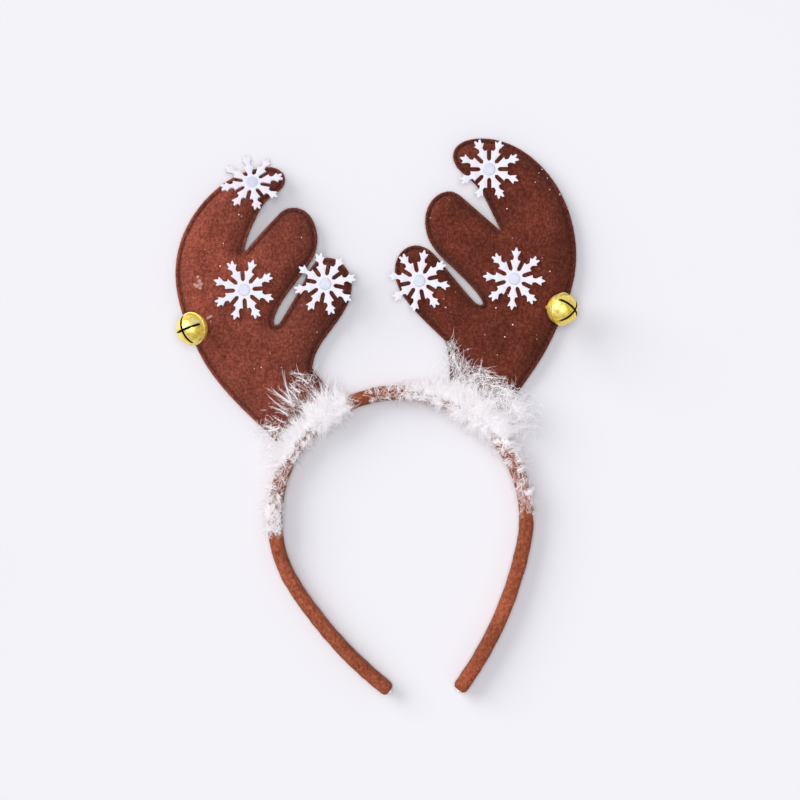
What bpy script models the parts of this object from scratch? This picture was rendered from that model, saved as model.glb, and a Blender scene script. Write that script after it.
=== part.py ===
"""A reindeer antler headband, lying on its back.

A felt-covered hoop carries a pair of padded felt antlers, with snowflakes and
jingle bells on their faces and a strip of down along the front of the hoop.

Origin: the crown of the hoop, on the surface that it lies on.
+Z is the headband's front, +Y points up to the antlers, +X is right from the front.
Sizes are in millimetres. The meshes are scaled to metres as they are made.
"""

import math
import random

import bmesh
import bpy
import numpy as np
from mathutils import Matrix, Vector
from mathutils.geometry import delaunay_2d_cdt

MM = 0.001
GAP = 0.3  # between pieces that touch on the real object
SMOOTH_DEG = 40.0  # edges sharper than this stay crisp
CUT_OUT_SMOOTH_DEG = 30.0
MERGE_DISTANCE = 1e-5
INSIDE_ONLY = 1  # the triangulation's choice that drops what lies outside the outline

# Hoop: a round crown that runs into two straighter legs
HOOP_RADIUS = 62.2  # to the middle of the band
BAND_DEPTH = 10.0  # front to back
BAND_THICKNESS = 6.6
BAND_CORNER = 2.3
BAND_END_THICKNESS = 5.4
BAND_END_ROUNDING = 3.0  # length over which the felt closes in at each end
BAND_STEP_DEG = 7.5
CORE_THICKNESS = 2.0
CORE_DEPTH = 6.6
CORE_TIP = 1.3  # how far the core stands out of the felt
LEGS = (
    # side, leaves the crown at degrees, radius, length
    (-1, 122.5, 204.0, 70.0),
    (1, 101.5, 182.0, 79.5),
)

# Antlers: two felt faces with padding, sewn together round a flat rim
ANTLER_MIDDLE = BAND_DEPTH / 2  # height of the seam plane
RIM_WIDTH = 1.8
RIM_THICKNESS = 1.2  # one felt layer
PAD_HEIGHT = 6.0  # from the seam plane to the flat of the pad
SHOULDER = 8.0  # width over which the pad rises
OUTLINE_STEP = 7.0
OUTLINE_TURN_DEG = 26.0
INSET_STEP = 2.4  # from the rim to the ring that shapes the shoulder
LEAST_BISECTOR = 0.6  # keeps a sharp corner from moving too far inwards
FILL_STEP = 9.0
FILL_CLEARANCE = 4.1  # from the shoulder's ring to the first points of the filling
FOOT_STEPS = 6
ANTLERS = {
    # where the base meets the hoop in degrees from the crown, then the outline's anchors:
    # name, x, y, heading on arrival, heading on leaving
    "left": {
        "foot": (-30.0, -60.0),
        "anchors": (
            ("base_outer", -64.3, -21.2, 136, 136),
            ("outer_low", -98.7, 18.7, 117, 117),
            ("outer_middle", -110.7, 57.6, 91, 91),
            ("outer_high", -94.8, 95.8, 46, 46),
            ("top", -65.2, 110.6, 3, 3),
            ("top_tip", -56.9, 104.4, -90, -90),
            ("top_under", -61.8, 97.7, -149, -149),
            ("top_inner", -74.4, 78.8, -114, -114),
            ("notch", -77.3, 68.0, -96, 49),
            ("middle_rise", -57.9, 89.1, 42, 42),
            ("middle_top", -52.4, 90.6, 0, 0),
            ("middle_side", -41.0, 74.4, -90, -90),
            ("middle_low", -46.0, 61.6, -125, -125),
            ("slot_far", -61.8, 37.9, -112, -112),
            ("slot_floor", -61.0, 32.7, 5, 5),
            ("slot_turn", -58.4, 35.4, 57, 57),
            ("slot_near", -50.5, 48.5, 57, 57),
            ("inner_top", -36.2, 66.0, 0, 0),
            ("inner_side", -24.1, 52.2, -90, -90),
            ("inner_low", -39.6, 23.1, -122, -122),
            ("neck", -43.6, 11.8, -95, -55),
            ("base_inner", -35.2, 0.5, -55, -60),
        ),
    },
    "right": {
        "foot": (22.0, 47.0),
        "anchors": (
            ("base_outer", 58.3, 0.5, 55, 55),
            ("outer_low", 73.6, 24.6, 64, 64),
            ("outer_middle", 86.4, 68.9, 92, 92),
            ("outer_high", 72.6, 107.3, 129, 129),
            ("top", 41.1, 124.7, 178, 178),
            ("top_tip", 25.9, 116.0, -90, -90),
            ("top_under", 31.8, 106.9, -38, -38),
            ("top_inner", 43.1, 92.6, -66, -66),
            ("notch", 49.7, 79.0, -66, 141),
            ("middle_rise", 32.3, 94.0, 140, 140),
            ("middle_top", 24.4, 98.7, 180, 180),
            ("middle_side", 12.2, 84.2, -90, -90),
            ("middle_low", 18.0, 68.9, -48, -48),
            ("slot_far", 35.7, 51.2, -50, -50),
            ("slot_floor", 38.9, 42.7, 175, 175),
            ("slot_turn", 35.4, 45.3, 133, 133),
            ("slot_near", 22.9, 60.1, 130, 130),
            ("inner_top", 7.6, 72.1, 180, 180),
            ("inner_side", -2.7, 60.1, -90, -90),
            ("inner_low", 13.5, 33.5, -45, -45),
            ("neck", 21.9, 25.1, -48, -70),
            ("base_inner", 24.4, 0.0, -90, -90),
        ),
    },
}

# Snowflakes: thin cut-outs with eight arms, each with two barbs and a forked tip
FLAKE_ARMS = 8
FLAKE_THICKNESS = 1.0
FLAKE_NOTCH_RADIUS = 4.1
FLAKE_ARM = (
    # distance from the centre, half width
    (6.6, 1.1),
    (9.6, 2.5),
    (10.5, 1.1),
    (14.2, 2.2),
    (15.6, 0.45),
)
FLAKE_DOT_RADIUS = 3.0
FLAKE_DOT_THICKNESS = 0.6
FLAKE_DOT_SIDES = 10
FLAKE_SEAT_RADII = (1.0, 3.0, 5.0)  # rings of its underside that are held clear of the felt
FLAKE_SEAT_SIDES = 16
FLAKES = (
    # antler, place, x, y, turn in degrees, lean towards the top edge in degrees
    ("left", "top", -72.8, 102.2, 33.0, 24.0),
    ("left", "middle", -76.7, 50.0, 18.0, 0.0),
    ("left", "inner", -36.9, 52.9, 33.0, 0.0),
    ("right", "top", 43.4, 109.0, 22.0, 0.0),
    ("right", "middle", 55.6, 55.4, 3.0, 0.0),
    ("right", "inner", 9.1, 54.4, 10.0, 0.0),
)

# Jingle bells: a hollow ball with a crimped seam, crossed slots and a wire loop
BELL_RADIUS = 7.7
BELL_WALL = 0.7
BELL_SIDES = 16
BELL_SEAM_HEIGHT = 0.5  # how far the crimped seam stands out
BELL_SEAM_HALF = 0.35
BELL_SLOTTED_HALF_DEG = (0, 22, 44, 65, 84)  # rings of the ball, from the slots' crossing
BELL_SLOT_WIDTH = 0.9
BELL_SLOT_END_RADIUS = 1.0
BELL_SLOT_END_SIDES = 8
BELL_SLOT_FLOOR = 1.7  # from the seam plane to the ends of the slots
BELL_CUTTER_REACH = 8.7  # past the outside of the ball
BELL_LOOP_RADIUS = 1.3
BELL_LOOP_SIDES = 10
BELL_LOOP_WIRE = 0.45
BELL_LOOP_WIRE_SIDES = 5
BELL_HOLLOW_SIDES = 12
PELLET_RADIUS = 2.2
BELLS = (
    # antler, x, y, direction of the slots' crossing, a direction along one slot
    ("left", -101.4, 30.7, (-0.54, -0.12, 0.83), (0.69, 0.31, 0.66)),
    ("right", 78.9, 40.3, (0.74, -0.08, 0.67), (-0.49, 0.63, 0.60)),
)

# Down trim: a cord along the front of the band, with locks of down all along it
TRIM_CORD_RADIUS = 1.1
TRIM_CORD_SIDES = 6
TRIM_CORD_STEP_DEG = 5.0
TRIM_SEED = 7
LOCK_MIDDLE = 0.45  # where a lock is widest, as a share of its length
LOCK_ROOT = 0.5  # width at the root, as a share of the widest
LOCK_FLATNESS = 0.6
LOCK_FAN = (0.0, 0.78, 0.3, 1.0, 0.12, 0.6, 0.9, 0.42)  # order in which locks fill the fan
LOCK_JITTER_DEG = 4.0
LOCK_FRONT_CUT = 0.45  # how much shorter a lock is that stands straight to the front
LOCK_SPLAY = 0.4  # sideways part of a lock's direction, at most
LOCK_TIP_BEND = 0.25  # sideways bend of the tip, as a share of the length, at most
LOCK_LENGTHS = (0.75, 1.0)
LOCK_WIDTHS = (0.8, 1.1)
TRIM_STRETCHES = (
    # name, from degrees, to degrees, locks, reach outwards, inwards, lock width,
    # lowest direction outwards and inwards in degrees above the band's front
    ("left_leg", -96.0, -66.0, 10, 8.0, 7.0, 2.4, -16.0, -16.0),
    ("left_base", -65.0, -22.0, 24, 21.0, 12.0, 5.0, 14.0, -5.0),
    ("crown", -20.0, 13.0, 9, 8.0, 7.0, 2.4, -16.0, -16.0),
    ("right_base", 15.0, 61.0, 26, 23.0, 12.0, 5.0, 14.0, -5.0),
    ("right_leg", 63.0, 93.0, 10, 9.0, 7.0, 2.4, -16.0, -16.0),
)

COLOURS = {
    # material: colour, roughness, metallic
    "antler_felt": ((0.17, 0.045, 0.028), 0.95, 0.0),
    "band_felt": ((0.21, 0.060, 0.032), 0.95, 0.0),
    "white_plastic": ((0.80, 0.79, 0.74), 0.40, 0.0),
    "snowflake_white": ((0.86, 0.87, 0.92), 0.60, 0.0),
    "dot_pearl": ((0.66, 0.80, 0.90), 0.25, 0.0),
    "bell_gold": ((0.86, 0.63, 0.13), 0.22, 1.0),
    "pellet_steel": ((0.55, 0.55, 0.56), 0.30, 1.0),
    "white_down": ((0.88, 0.87, 0.90), 0.90, 0.0),
}


def clear_scene():
    for old in list(bpy.data.objects):
        bpy.data.objects.remove(old, do_unlink=True)


def make_materials():
    made = {}
    for name, (colour, roughness, metallic) in COLOURS.items():
        material = bpy.data.materials.new(name)
        material.use_nodes = True
        shader = material.node_tree.nodes["Principled BSDF"]
        shader.inputs["Base Color"].default_value = (*colour, 1.0)
        shader.inputs["Roughness"].default_value = roughness
        shader.inputs["Metallic"].default_value = metallic
        made[name] = material
    return made


def mesh_object(name, shape, material, smooth_deg=SMOOTH_DEG):
    """An object from a bmesh in millimetres, with its normals set outwards."""
    bmesh.ops.scale(shape, vec=(MM, MM, MM), verts=shape.verts)
    bmesh.ops.recalc_face_normals(shape, faces=shape.faces)
    mesh = bpy.data.meshes.new(name)
    shape.to_mesh(mesh)
    shape.free()
    mesh.materials.append(material)
    mesh.shade_smooth()
    mesh.set_sharp_from_angle(angle=math.radians(smooth_deg))
    made = bpy.data.objects.new(name, mesh)
    bpy.context.scene.collection.objects.link(made)
    return made


def hoop_centre():
    return Vector((0.0, -HOOP_RADIUS, 0.0))


def on_crown(degrees, radius=HOOP_RADIUS):
    """A point on the round crown, and the outward direction there."""
    turn = math.radians(degrees)
    outward = Vector((math.sin(turn), math.cos(turn), 0.0))
    return hoop_centre() + outward * radius, outward


def leg_points(side, leaves_at, radius, length, step):
    """The leg's points after the crown, each with its outward direction."""
    start, outward = on_crown(side * leaves_at)
    centre = start - outward * radius
    count = math.ceil(length / step)
    for index in range(1, count + 1):
        travelled = length * index / count
        turn = side * (math.radians(leaves_at) + travelled / radius)
        outward = Vector((math.sin(turn), math.cos(turn), 0.0))
        yield centre + outward * radius, outward, length - travelled


def band_path():
    """The middle of the band: points, outward directions and lengths left to the nearer end."""
    (left_side, left_from, *left_rest), (right_side, right_from, *right_rest) = LEGS
    step = HOOP_RADIUS * math.radians(BAND_STEP_DEG)
    left = list(leg_points(left_side, left_from, *left_rest, step))
    right = list(leg_points(right_side, right_from, *right_rest, step))
    half = BAND_STEP_DEG / 2  # so that one face of the band is square to +Y at the crown
    angles = []
    angle = half
    while angle < right_from - half:
        angles.append(angle)
        angle += BAND_STEP_DEG
    angle = -half
    while angle > -left_from + half:
        angles.append(angle)
        angle -= BAND_STEP_DEG
    turns = [-left_from, *sorted(angles), right_from]
    crown = [(*on_crown(turn), math.inf) for turn in turns]
    return with_rounded_ends(left[::-1] + crown + right)


def with_rounded_ends(path):
    """The path with one more point where the rounding of each end starts."""

    def rounding_start(end, following):
        share = BAND_END_ROUNDING / (following[0] - end[0]).length
        point = end[0].lerp(following[0], share)
        outward = end[1].lerp(following[1], share).normalized()
        return point, outward, BAND_END_ROUNDING

    near = rounding_start(path[0], path[1])
    far = rounding_start(path[-1], path[-2])
    return [path[0], near, *path[1:-1], far, path[-1]]


def rounded_section(thickness, depth, corner):
    """A rounded rectangle: pairs of outward offset and height, with three points a corner."""
    points = []
    for across, up, start in ((1, 1, 0), (-1, 1, 90), (-1, -1, 180), (1, -1, 270)):
        for turn in (0, 45, 90):
            angle = math.radians(start + turn)
            x = across * (thickness / 2 - corner) + corner * math.cos(angle)
            z = up * (depth / 2 - corner) + corner * math.sin(angle)
            points.append((x, z))
    return points


def plain_section(thickness, depth):
    half, high = thickness / 2, depth / 2
    return [(half, high), (-half, high), (-half, -high), (half, -high)]


def ring_of(shape, point, outward, section, height):
    return [
        shape.verts.new((*(point + outward * offset).xy, height + up)) for offset, up in section
    ]


def join_rings(shape, rings):
    for first, second in zip(rings[:-1], rings[1:]):
        count = len(first)
        for index in range(count):
            after = (index + 1) % count
            shape.faces.new((first[index], first[after], second[after], second[index]))


def band_cover(materials):
    """The felt sleeve, open at both ends, where the core stands out."""
    shape = bmesh.new()
    outer, inner = [], []
    for point, outward, left in band_path():
        closed = 1.0 - min(left / BAND_END_ROUNDING, 1.0)
        thickness = BAND_THICKNESS + (BAND_END_THICKNESS - BAND_THICKNESS) * closed
        depth = BAND_DEPTH + (BAND_END_THICKNESS - BAND_THICKNESS) * closed
        section = rounded_section(thickness, depth, BAND_CORNER)
        outer.append(ring_of(shape, point, outward, section, BAND_DEPTH / 2))
        hole = plain_section(CORE_THICKNESS + 2 * GAP, CORE_DEPTH + 2 * GAP)
        inner.append(ring_of(shape, point, outward, hole, BAND_DEPTH / 2))
    join_rings(shape, outer)
    join_rings(shape, inner)
    for end in (0, -1):
        edges = []
        for ring in (outer[end], inner[end]):
            edges += [shape.edges.get((a, b)) for a, b in zip(ring, ring[1:] + ring[:1])]
        bmesh.ops.bridge_loops(shape, edges=edges)
    return mesh_object("band_cover", shape, materials["band_felt"])


def hoop_core(materials):
    """The springy white strip inside the sleeve."""
    path = band_path()
    first, last = path[0], path[-1]
    before = first[0] + (first[0] - path[1][0]).normalized() * CORE_TIP
    after = last[0] + (last[0] - path[-2][0]).normalized() * CORE_TIP
    path = [(before, first[1], 0.0), *path, (after, last[1], 0.0)]
    shape = bmesh.new()
    section = plain_section(CORE_THICKNESS, CORE_DEPTH)
    rings = [ring_of(shape, point, outward, section, BAND_DEPTH / 2) for point, outward, _ in path]
    join_rings(shape, rings)
    shape.faces.new(rings[0])
    shape.faces.new(rings[-1])
    return mesh_object("hoop_core", shape, materials["white_plastic"])


def curved_run(start, end):
    """Points from one anchor up to the next, on a curve that keeps both headings."""
    _, x0, y0, _, leaving = start
    _, x1, y1, arriving, _ = end
    first, last = Vector((x0, y0)), Vector((x1, y1))
    chord = (last - first).length
    turn = abs((arriving - leaving + 180.0) % 360.0 - 180.0)
    bend = math.radians(max(turn, 1.0))
    handle = chord * (4 / 3) * math.tan(bend / 4) / (2 * math.sin(bend / 2))
    leave, arrive = math.radians(leaving), math.radians(arriving)
    second = first + Vector((math.cos(leave), math.sin(leave))) * handle
    third = last - Vector((math.cos(arrive), math.sin(arrive))) * handle
    count = math.ceil(max(chord / OUTLINE_STEP, turn / OUTLINE_TURN_DEG))
    for index in range(count):
        t = index / count
        yield (
            first * (1 - t) ** 3
            + second * (3 * t * (1 - t) ** 2)
            + third * (3 * t * t * (1 - t))
            + last * t**3
        )


def antler_outline(side):
    """The antler's outline, anticlockwise, with a foot that follows the hoop."""
    anchors = ANTLERS[side]["anchors"]
    points = []
    for start, end in zip(anchors[:-1], anchors[1:]):
        points += curved_run(start, end)
    points.append(Vector(anchors[-1][1:3]))
    foot_start, foot_end = ANTLERS[side]["foot"]
    foot_radius = HOOP_RADIUS + BAND_THICKNESS / 2 + GAP
    for index in range(FOOT_STEPS + 1):
        angle = foot_start + (foot_end - foot_start) * index / FOOT_STEPS
        points.append(on_crown(angle, foot_radius)[0].xy)
    outline = np.array([tuple(p) for p in points])
    x, y = outline.T
    area = np.sum(x * np.roll(y, -1) - y * np.roll(x, -1)) / 2
    return outline if area > 0 else outline[::-1]


def inset(outline, distance):
    """The outline moved inwards, along each corner's bisector."""
    before = outline - np.roll(outline, 1, axis=0)
    after = np.roll(outline, -1, axis=0) - outline
    before /= np.linalg.norm(before, axis=1)[:, None]
    after /= np.linalg.norm(after, axis=1)[:, None]
    inward_before = np.stack([-before[:, 1], before[:, 0]], axis=1)
    inward_after = np.stack([-after[:, 1], after[:, 0]], axis=1)
    middle = inward_before + inward_after
    middle /= np.linalg.norm(middle, axis=1)[:, None]
    stretch = 1 / np.maximum(np.sum(middle * inward_before, axis=1), LEAST_BISECTOR)
    return outline + middle * (distance * stretch)[:, None]


def depth_inside(points, outline):
    """Distance from the outline, positive inside and negative outside."""
    start, end = outline, np.roll(outline, -1, axis=0)
    along = end - start
    offset = points[:, None, :] - start[None, :, :]
    share = np.clip(np.sum(offset * along, axis=2) / np.sum(along**2, axis=1), 0, 1)
    nearest = np.linalg.norm(offset - share[..., None] * along, axis=2).min(axis=1)
    x, y = points[:, 0, None], points[:, 1, None]
    crosses = (start[:, 1] > y) != (end[:, 1] > y)
    level = along[:, 1] == 0
    slope = along[:, 0] / np.where(level, 1.0, along[:, 1])
    hits = crosses & (x < start[:, 0] + (y - start[:, 1]) * slope)
    return np.where(hits.sum(axis=1) % 2 == 1, nearest, -nearest)


def pad_rise(depth):
    """Height over the seam plane at a distance inside the outline."""
    climb = np.clip((depth - RIM_WIDTH) / SHOULDER, 0, 1)
    return RIM_THICKNESS + (PAD_HEIGHT - RIM_THICKNESS) * np.sqrt(1 - (1 - climb) ** 2)


def fill_points(outline):
    """Points of a triangular grid that lie well inside the outline."""
    low, high = outline.min(axis=0), outline.max(axis=0)
    rows = []
    for row, y in enumerate(np.arange(low[1], high[1], FILL_STEP * math.sqrt(3) / 2)):
        shift = FILL_STEP / 2 if row % 2 else 0.0
        rows += [(x, y) for x in np.arange(low[0] + shift, high[0], FILL_STEP)]
    grid = np.array(rows)
    clear = RIM_WIDTH + INSET_STEP + FILL_CLEARANCE
    return grid[depth_inside(grid, outline) > clear]


def antler_surface(outline):
    """Triangles that fill the outline, with rings that shape its rim and shoulder."""
    count = len(outline)
    rim = inset(outline, RIM_WIDTH)
    shoulder = inset(outline, RIM_WIDTH + INSET_STEP)
    points = np.vstack([outline, rim, shoulder, fill_points(outline)])
    rings = [[start + i for i in range(count)] for start in (0, count, 2 * count)]
    edges = [(ring[i], ring[(i + 1) % count]) for ring in rings for i in range(count)]
    corners = [Vector(point) for point in points]
    flat, _, faces, *_ = delaunay_2d_cdt(corners, edges, rings[:1], INSIDE_ONLY, MERGE_DISTANCE)
    return np.array([tuple(point) for point in flat]), faces


def antler_panel(side, face, materials):
    """One felt face of an antler with its half of the padding. The back one is flat where it rests."""
    outline = antler_outline(side)
    flat, faces = antler_surface(outline)
    direction = 1 if face == "front" else -1
    rise = pad_rise(np.maximum(depth_inside(flat, outline), 0))
    heights = np.maximum(ANTLER_MIDDLE + direction * rise, 0.0)
    seam = ANTLER_MIDDLE + direction * GAP / 2
    shape = bmesh.new()
    pad = [shape.verts.new((x, y, z)) for (x, y), z in zip(flat, heights)]
    for triangle in faces:
        shape.faces.new([pad[index] for index in triangle])
    loop = border_loop(shape)
    sewn = [shape.verts.new((*vert.co.xy, seam)) for vert in loop]
    join_rings(shape, [loop, sewn])
    shape.faces.new(sewn)
    return mesh_object(f"antler_{side}_{face}", shape, materials["antler_felt"])


def border_loop(shape):
    """The vertices round the open border, in order."""
    follows = {}
    for edge in shape.edges:
        if edge.is_boundary:
            for vert in edge.verts:
                follows.setdefault(vert, []).append(edge)
    first = next(iter(follows))
    loop, edge = [first], follows[first][0]
    while True:
        vert = edge.other_vert(loop[-1])
        if vert == first:
            return loop
        loop.append(vert)
        edge = next(other for other in follows[vert] if other != edge)


def flake_outline():
    """The cut-out's outline on its own plane."""
    points = []
    sector = 2 * math.pi / FLAKE_ARMS
    for arm in range(FLAKE_ARMS):
        middle = arm * sector
        notch = middle - sector / 2
        points.append((FLAKE_NOTCH_RADIUS * math.cos(notch), FLAKE_NOTCH_RADIUS * math.sin(notch)))
        rising = [(far, -wide) for far, wide in FLAKE_ARM]
        falling = [(far, wide) for far, wide in reversed(FLAKE_ARM)]
        for far, wide in rising + falling:
            points.append(
                (
                    far * math.cos(middle) - wide * math.sin(middle),
                    far * math.sin(middle) + wide * math.cos(middle),
                )
            )
    return points


def flake_frame(x, y, turn, lean):
    """The flake's own axes: it turns clockwise from straight up, then leans back at its top."""
    return (
        Matrix.Translation((x, y, 0.0))
        @ Matrix.Rotation(math.radians(-lean), 4, "X")
        @ Matrix.Rotation(math.radians(90.0 - turn), 4, "Z")
    )


def seat_height(outline, points):
    """How far points must rise to stand a gap clear of an antler's front."""
    points = np.array(points)
    inside = depth_inside(points[:, :2], outline)
    over = inside > 0
    felt = ANTLER_MIDDLE + pad_rise(inside[over])
    return float(np.max(felt - points[over, 2])) + GAP


def prism(outline, low, high, frame):
    shape = bmesh.new()
    bottom = [shape.verts.new(frame @ Vector((x, y, low))) for x, y in outline]
    top = [shape.verts.new(frame @ Vector((x, y, high))) for x, y in outline]
    join_rings(shape, [bottom, top])
    shape.faces.new(bottom)
    shape.faces.new(top)
    return shape


def disc_outline(radius, sides):
    turns = [2 * math.pi * index / sides for index in range(sides)]
    return [(radius * math.cos(turn), radius * math.sin(turn)) for turn in turns]


def snowflake(side, place, x, y, turn, lean, materials):
    """A snowflake on the antler's face, with a round dot at its centre."""
    antler = antler_outline(side)
    frame = flake_frame(x, y, turn, lean)
    rings = [disc_outline(radius, FLAKE_SEAT_SIDES) for radius in FLAKE_SEAT_RADII]
    under = [frame @ Vector((*point, 0.0)) for ring in [flake_outline(), *rings] for point in ring]
    frame = Matrix.Translation((0, 0, seat_height(antler, [tuple(p) for p in under]))) @ frame
    flake = prism(flake_outline(), 0.0, FLAKE_THICKNESS, frame)
    white = materials["snowflake_white"]
    mesh_object(f"snowflake_{side}_{place}", flake, white, CUT_OUT_SMOOTH_DEG)
    dot_low = FLAKE_THICKNESS + GAP
    dot_ring = disc_outline(FLAKE_DOT_RADIUS, FLAKE_DOT_SIDES)
    dot = prism(dot_ring, dot_low, dot_low + FLAKE_DOT_THICKNESS, frame)
    pearl = materials["dot_pearl"]
    mesh_object(f"snowflake_dot_{side}_{place}", dot, pearl, CUT_OUT_SMOOTH_DEG)


def bell_profile():
    """Half of the ball's section from the slots' side to the loop's, with the crimped seam."""
    turns = [math.radians(degrees) for degrees in BELL_SLOTTED_HALF_DEG]
    slotted = [(BELL_RADIUS * math.sin(turn), BELL_RADIUS * math.cos(turn)) for turn in turns]
    seam_radius = BELL_RADIUS + BELL_SEAM_HEIGHT
    seam = [(seam_radius, BELL_SEAM_HALF), (seam_radius, -BELL_SEAM_HALF)]
    return slotted + seam + [(radius, -height) for radius, height in reversed(slotted)]


def hollow_profile():
    """Half of the section of the space inside the ball."""
    radius = BELL_RADIUS - BELL_WALL
    steps = BELL_HOLLOW_SIDES // 2 + 2
    turns = [math.pi * index / steps for index in range(steps + 1)]
    return [(radius * math.sin(turn), radius * math.cos(turn)) for turn in turns]


def turned(profile, sides):
    """A closed solid of revolution about Z, from a profile that starts and ends on the axis."""
    shape = bmesh.new()
    first = shape.verts.new((0.0, 0.0, profile[0][1]))
    last = shape.verts.new((0.0, 0.0, profile[-1][1]))
    rings = []
    for radius, height in profile[1:-1]:
        rings.append([shape.verts.new((x, y, height)) for x, y in disc_outline(radius, sides)])
    join_rings(shape, rings)
    for index in range(sides):
        after = (index + 1) % sides
        shape.faces.new((first, rings[0][index], rings[0][after]))
        shape.faces.new((last, rings[-1][index], rings[-1][after]))
    return shape


def helper(name, shape, material):
    """A cutter or a piece to be joined, which isn't a part by itself."""
    made = mesh_object(name, shape, material)
    made.hide_render = True
    made.display_type = "WIRE"
    return made


def combine(target, other, operation):
    modifier = target.modifiers.new(other.name, "BOOLEAN")
    modifier.operation = operation
    modifier.solver = "EXACT"
    modifier.object = other


def box_shape(low, high):
    shape = bmesh.new()
    centre = [(a + b) / 2 for a, b in zip(low, high)]
    size = [b - a for a, b in zip(low, high)]
    bmesh.ops.create_cube(shape, size=1.0, matrix=Matrix.Translation(centre) @ Matrix.Diagonal((*size, 1.0)))
    return shape


def slot_cutter(axis):
    """A slot across the slotted half."""
    reach = BELL_CUTTER_REACH
    half = BELL_SLOT_WIDTH / 2
    floor = BELL_SLOT_FLOOR + BELL_SLOT_END_RADIUS
    if axis == "X":
        return box_shape((-reach, -half, floor), (reach, half, reach))
    return box_shape((-half, -reach, floor), (half, reach, reach))


def slot_end_cutter(axis):
    """The round holes at a slot's two ends, as one bar through the ball."""
    shape = bmesh.new()
    turn = Matrix.Rotation(math.pi / 2, 4, "Y" if axis == "X" else "X")
    place = Matrix.Translation((0, 0, BELL_SLOT_FLOOR + BELL_SLOT_END_RADIUS)) @ turn
    bmesh.ops.create_cone(
        shape,
        cap_ends=True,
        segments=BELL_SLOT_END_SIDES,
        radius1=BELL_SLOT_END_RADIUS,
        radius2=BELL_SLOT_END_RADIUS,
        depth=2 * BELL_CUTTER_REACH,
        matrix=place,
    )
    return shape


def bell_loop():
    """The closed wire loop behind the ball, which stands in the XZ plane of the bell's frame."""
    drop = BELL_RADIUS + BELL_LOOP_RADIUS - BELL_LOOP_WIRE / 2
    shape = bmesh.new()
    rings = []
    for x, z in disc_outline(1.0, BELL_LOOP_SIDES):
        out = Vector((x, 0.0, z))
        ring = []
        for across, aside in disc_outline(BELL_LOOP_WIRE, BELL_LOOP_WIRE_SIDES):
            point = out * (BELL_LOOP_RADIUS + across) + Vector((0.0, aside, -drop))
            ring.append(shape.verts.new(point))
        rings.append(ring)
    join_rings(shape, rings + rings[:1])
    return shape


def moved(shape, frame):
    bmesh.ops.transform(shape, matrix=frame, verts=shape.verts)
    return shape


def bell_axes(pole, slot):
    """A frame with +Z to the crossing of the slots and +X along one slot."""
    z = Vector(pole).normalized()
    x = Vector(slot) - z * z.dot(Vector(slot))
    x.normalize()
    return Matrix((x, z.cross(x), z)).transposed().to_4x4()


def bell(side, x, y, pole, slot, materials):
    """A bell sewn to the antler's edge by its loop, with the pellet that rattles in it."""
    gold = materials["bell_gold"]
    loop = bell_loop()
    axes = bell_axes(pole, slot)
    body = turned(bell_profile(), BELL_SIDES)
    under = [axes @ vert.co for vert in list(body.verts) + list(loop.verts)]
    under = [(point.x + x, point.y + y, point.z) for point in under]
    height = seat_height(antler_outline(side), under)
    frame = Matrix.Translation((x, y, height)) @ axes
    made = mesh_object(f"bell_{side}", moved(body, frame), gold)
    combine(made, helper(f"bell_{side}_loop", moved(loop, frame), gold), "UNION")
    hollow = moved(turned(hollow_profile(), BELL_HOLLOW_SIDES), frame)
    combine(made, helper(f"bell_{side}_hollow", hollow, gold), "DIFFERENCE")
    for axis in ("X", "Y"):
        for part, cut in (("slot", slot_cutter(axis)), ("slot_end", slot_end_cutter(axis))):
            cutter = helper(f"bell_{side}_{part}_{axis}", moved(cut, frame), gold)
            combine(made, cutter, "DIFFERENCE")
    pellet = bmesh.new()
    rest = height - (BELL_RADIUS - BELL_WALL - GAP - PELLET_RADIUS)
    place = Matrix.Translation((x, y, rest))
    bmesh.ops.create_icosphere(pellet, subdivisions=2, radius=PELLET_RADIUS, matrix=place)
    mesh_object(f"bell_pellet_{side}", pellet, materials["pellet_steel"])


def trim_height():
    return BAND_DEPTH + GAP + TRIM_CORD_RADIUS


def trim_cord(degrees_from, degrees_to):
    """The cord that the down is wound into, along the front of the band."""
    shape = bmesh.new()
    count = math.ceil((degrees_to - degrees_from) / TRIM_CORD_STEP_DEG)
    ring = [
        (TRIM_CORD_RADIUS * math.cos(turn), TRIM_CORD_RADIUS * math.sin(turn))
        for turn in (2 * math.pi * (i + 0.5) / TRIM_CORD_SIDES for i in range(TRIM_CORD_SIDES))
    ]
    rings = []
    for index in range(count + 1):
        point, outward = on_crown(degrees_from + (degrees_to - degrees_from) * index / count)
        rings.append(ring_of(shape, point, outward, ring, trim_height()))
    join_rings(shape, rings)
    shape.faces.new(rings[0])
    shape.faces.new(rings[-1])
    return shape


def add_lock(shape, root, direction, bend, length, width):
    """One lock: narrow at the cord, widest before its middle, and pointed, with its tip bent aside."""
    across = direction.cross(Vector((0, 0, 1))).normalized()
    up = across.cross(direction).normalized()
    wide, thick = across * (width / 2), up * (width / 2 * LOCK_FLATNESS)
    rings = []
    for share, scale in ((0.0, LOCK_ROOT), (LOCK_MIDDLE, 1.0)):
        centre = root + direction * (length * share)
        corners = (wide, thick, -wide, -thick)
        rings.append([shape.verts.new(centre + corner * scale) for corner in corners])
    join_rings(shape, rings)
    shape.faces.new(rings[0])
    tip = shape.verts.new(root + direction * length + bend * length)
    for index in range(4):
        shape.faces.new((rings[-1][index], rings[-1][(index + 1) % 4], tip))


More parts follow.
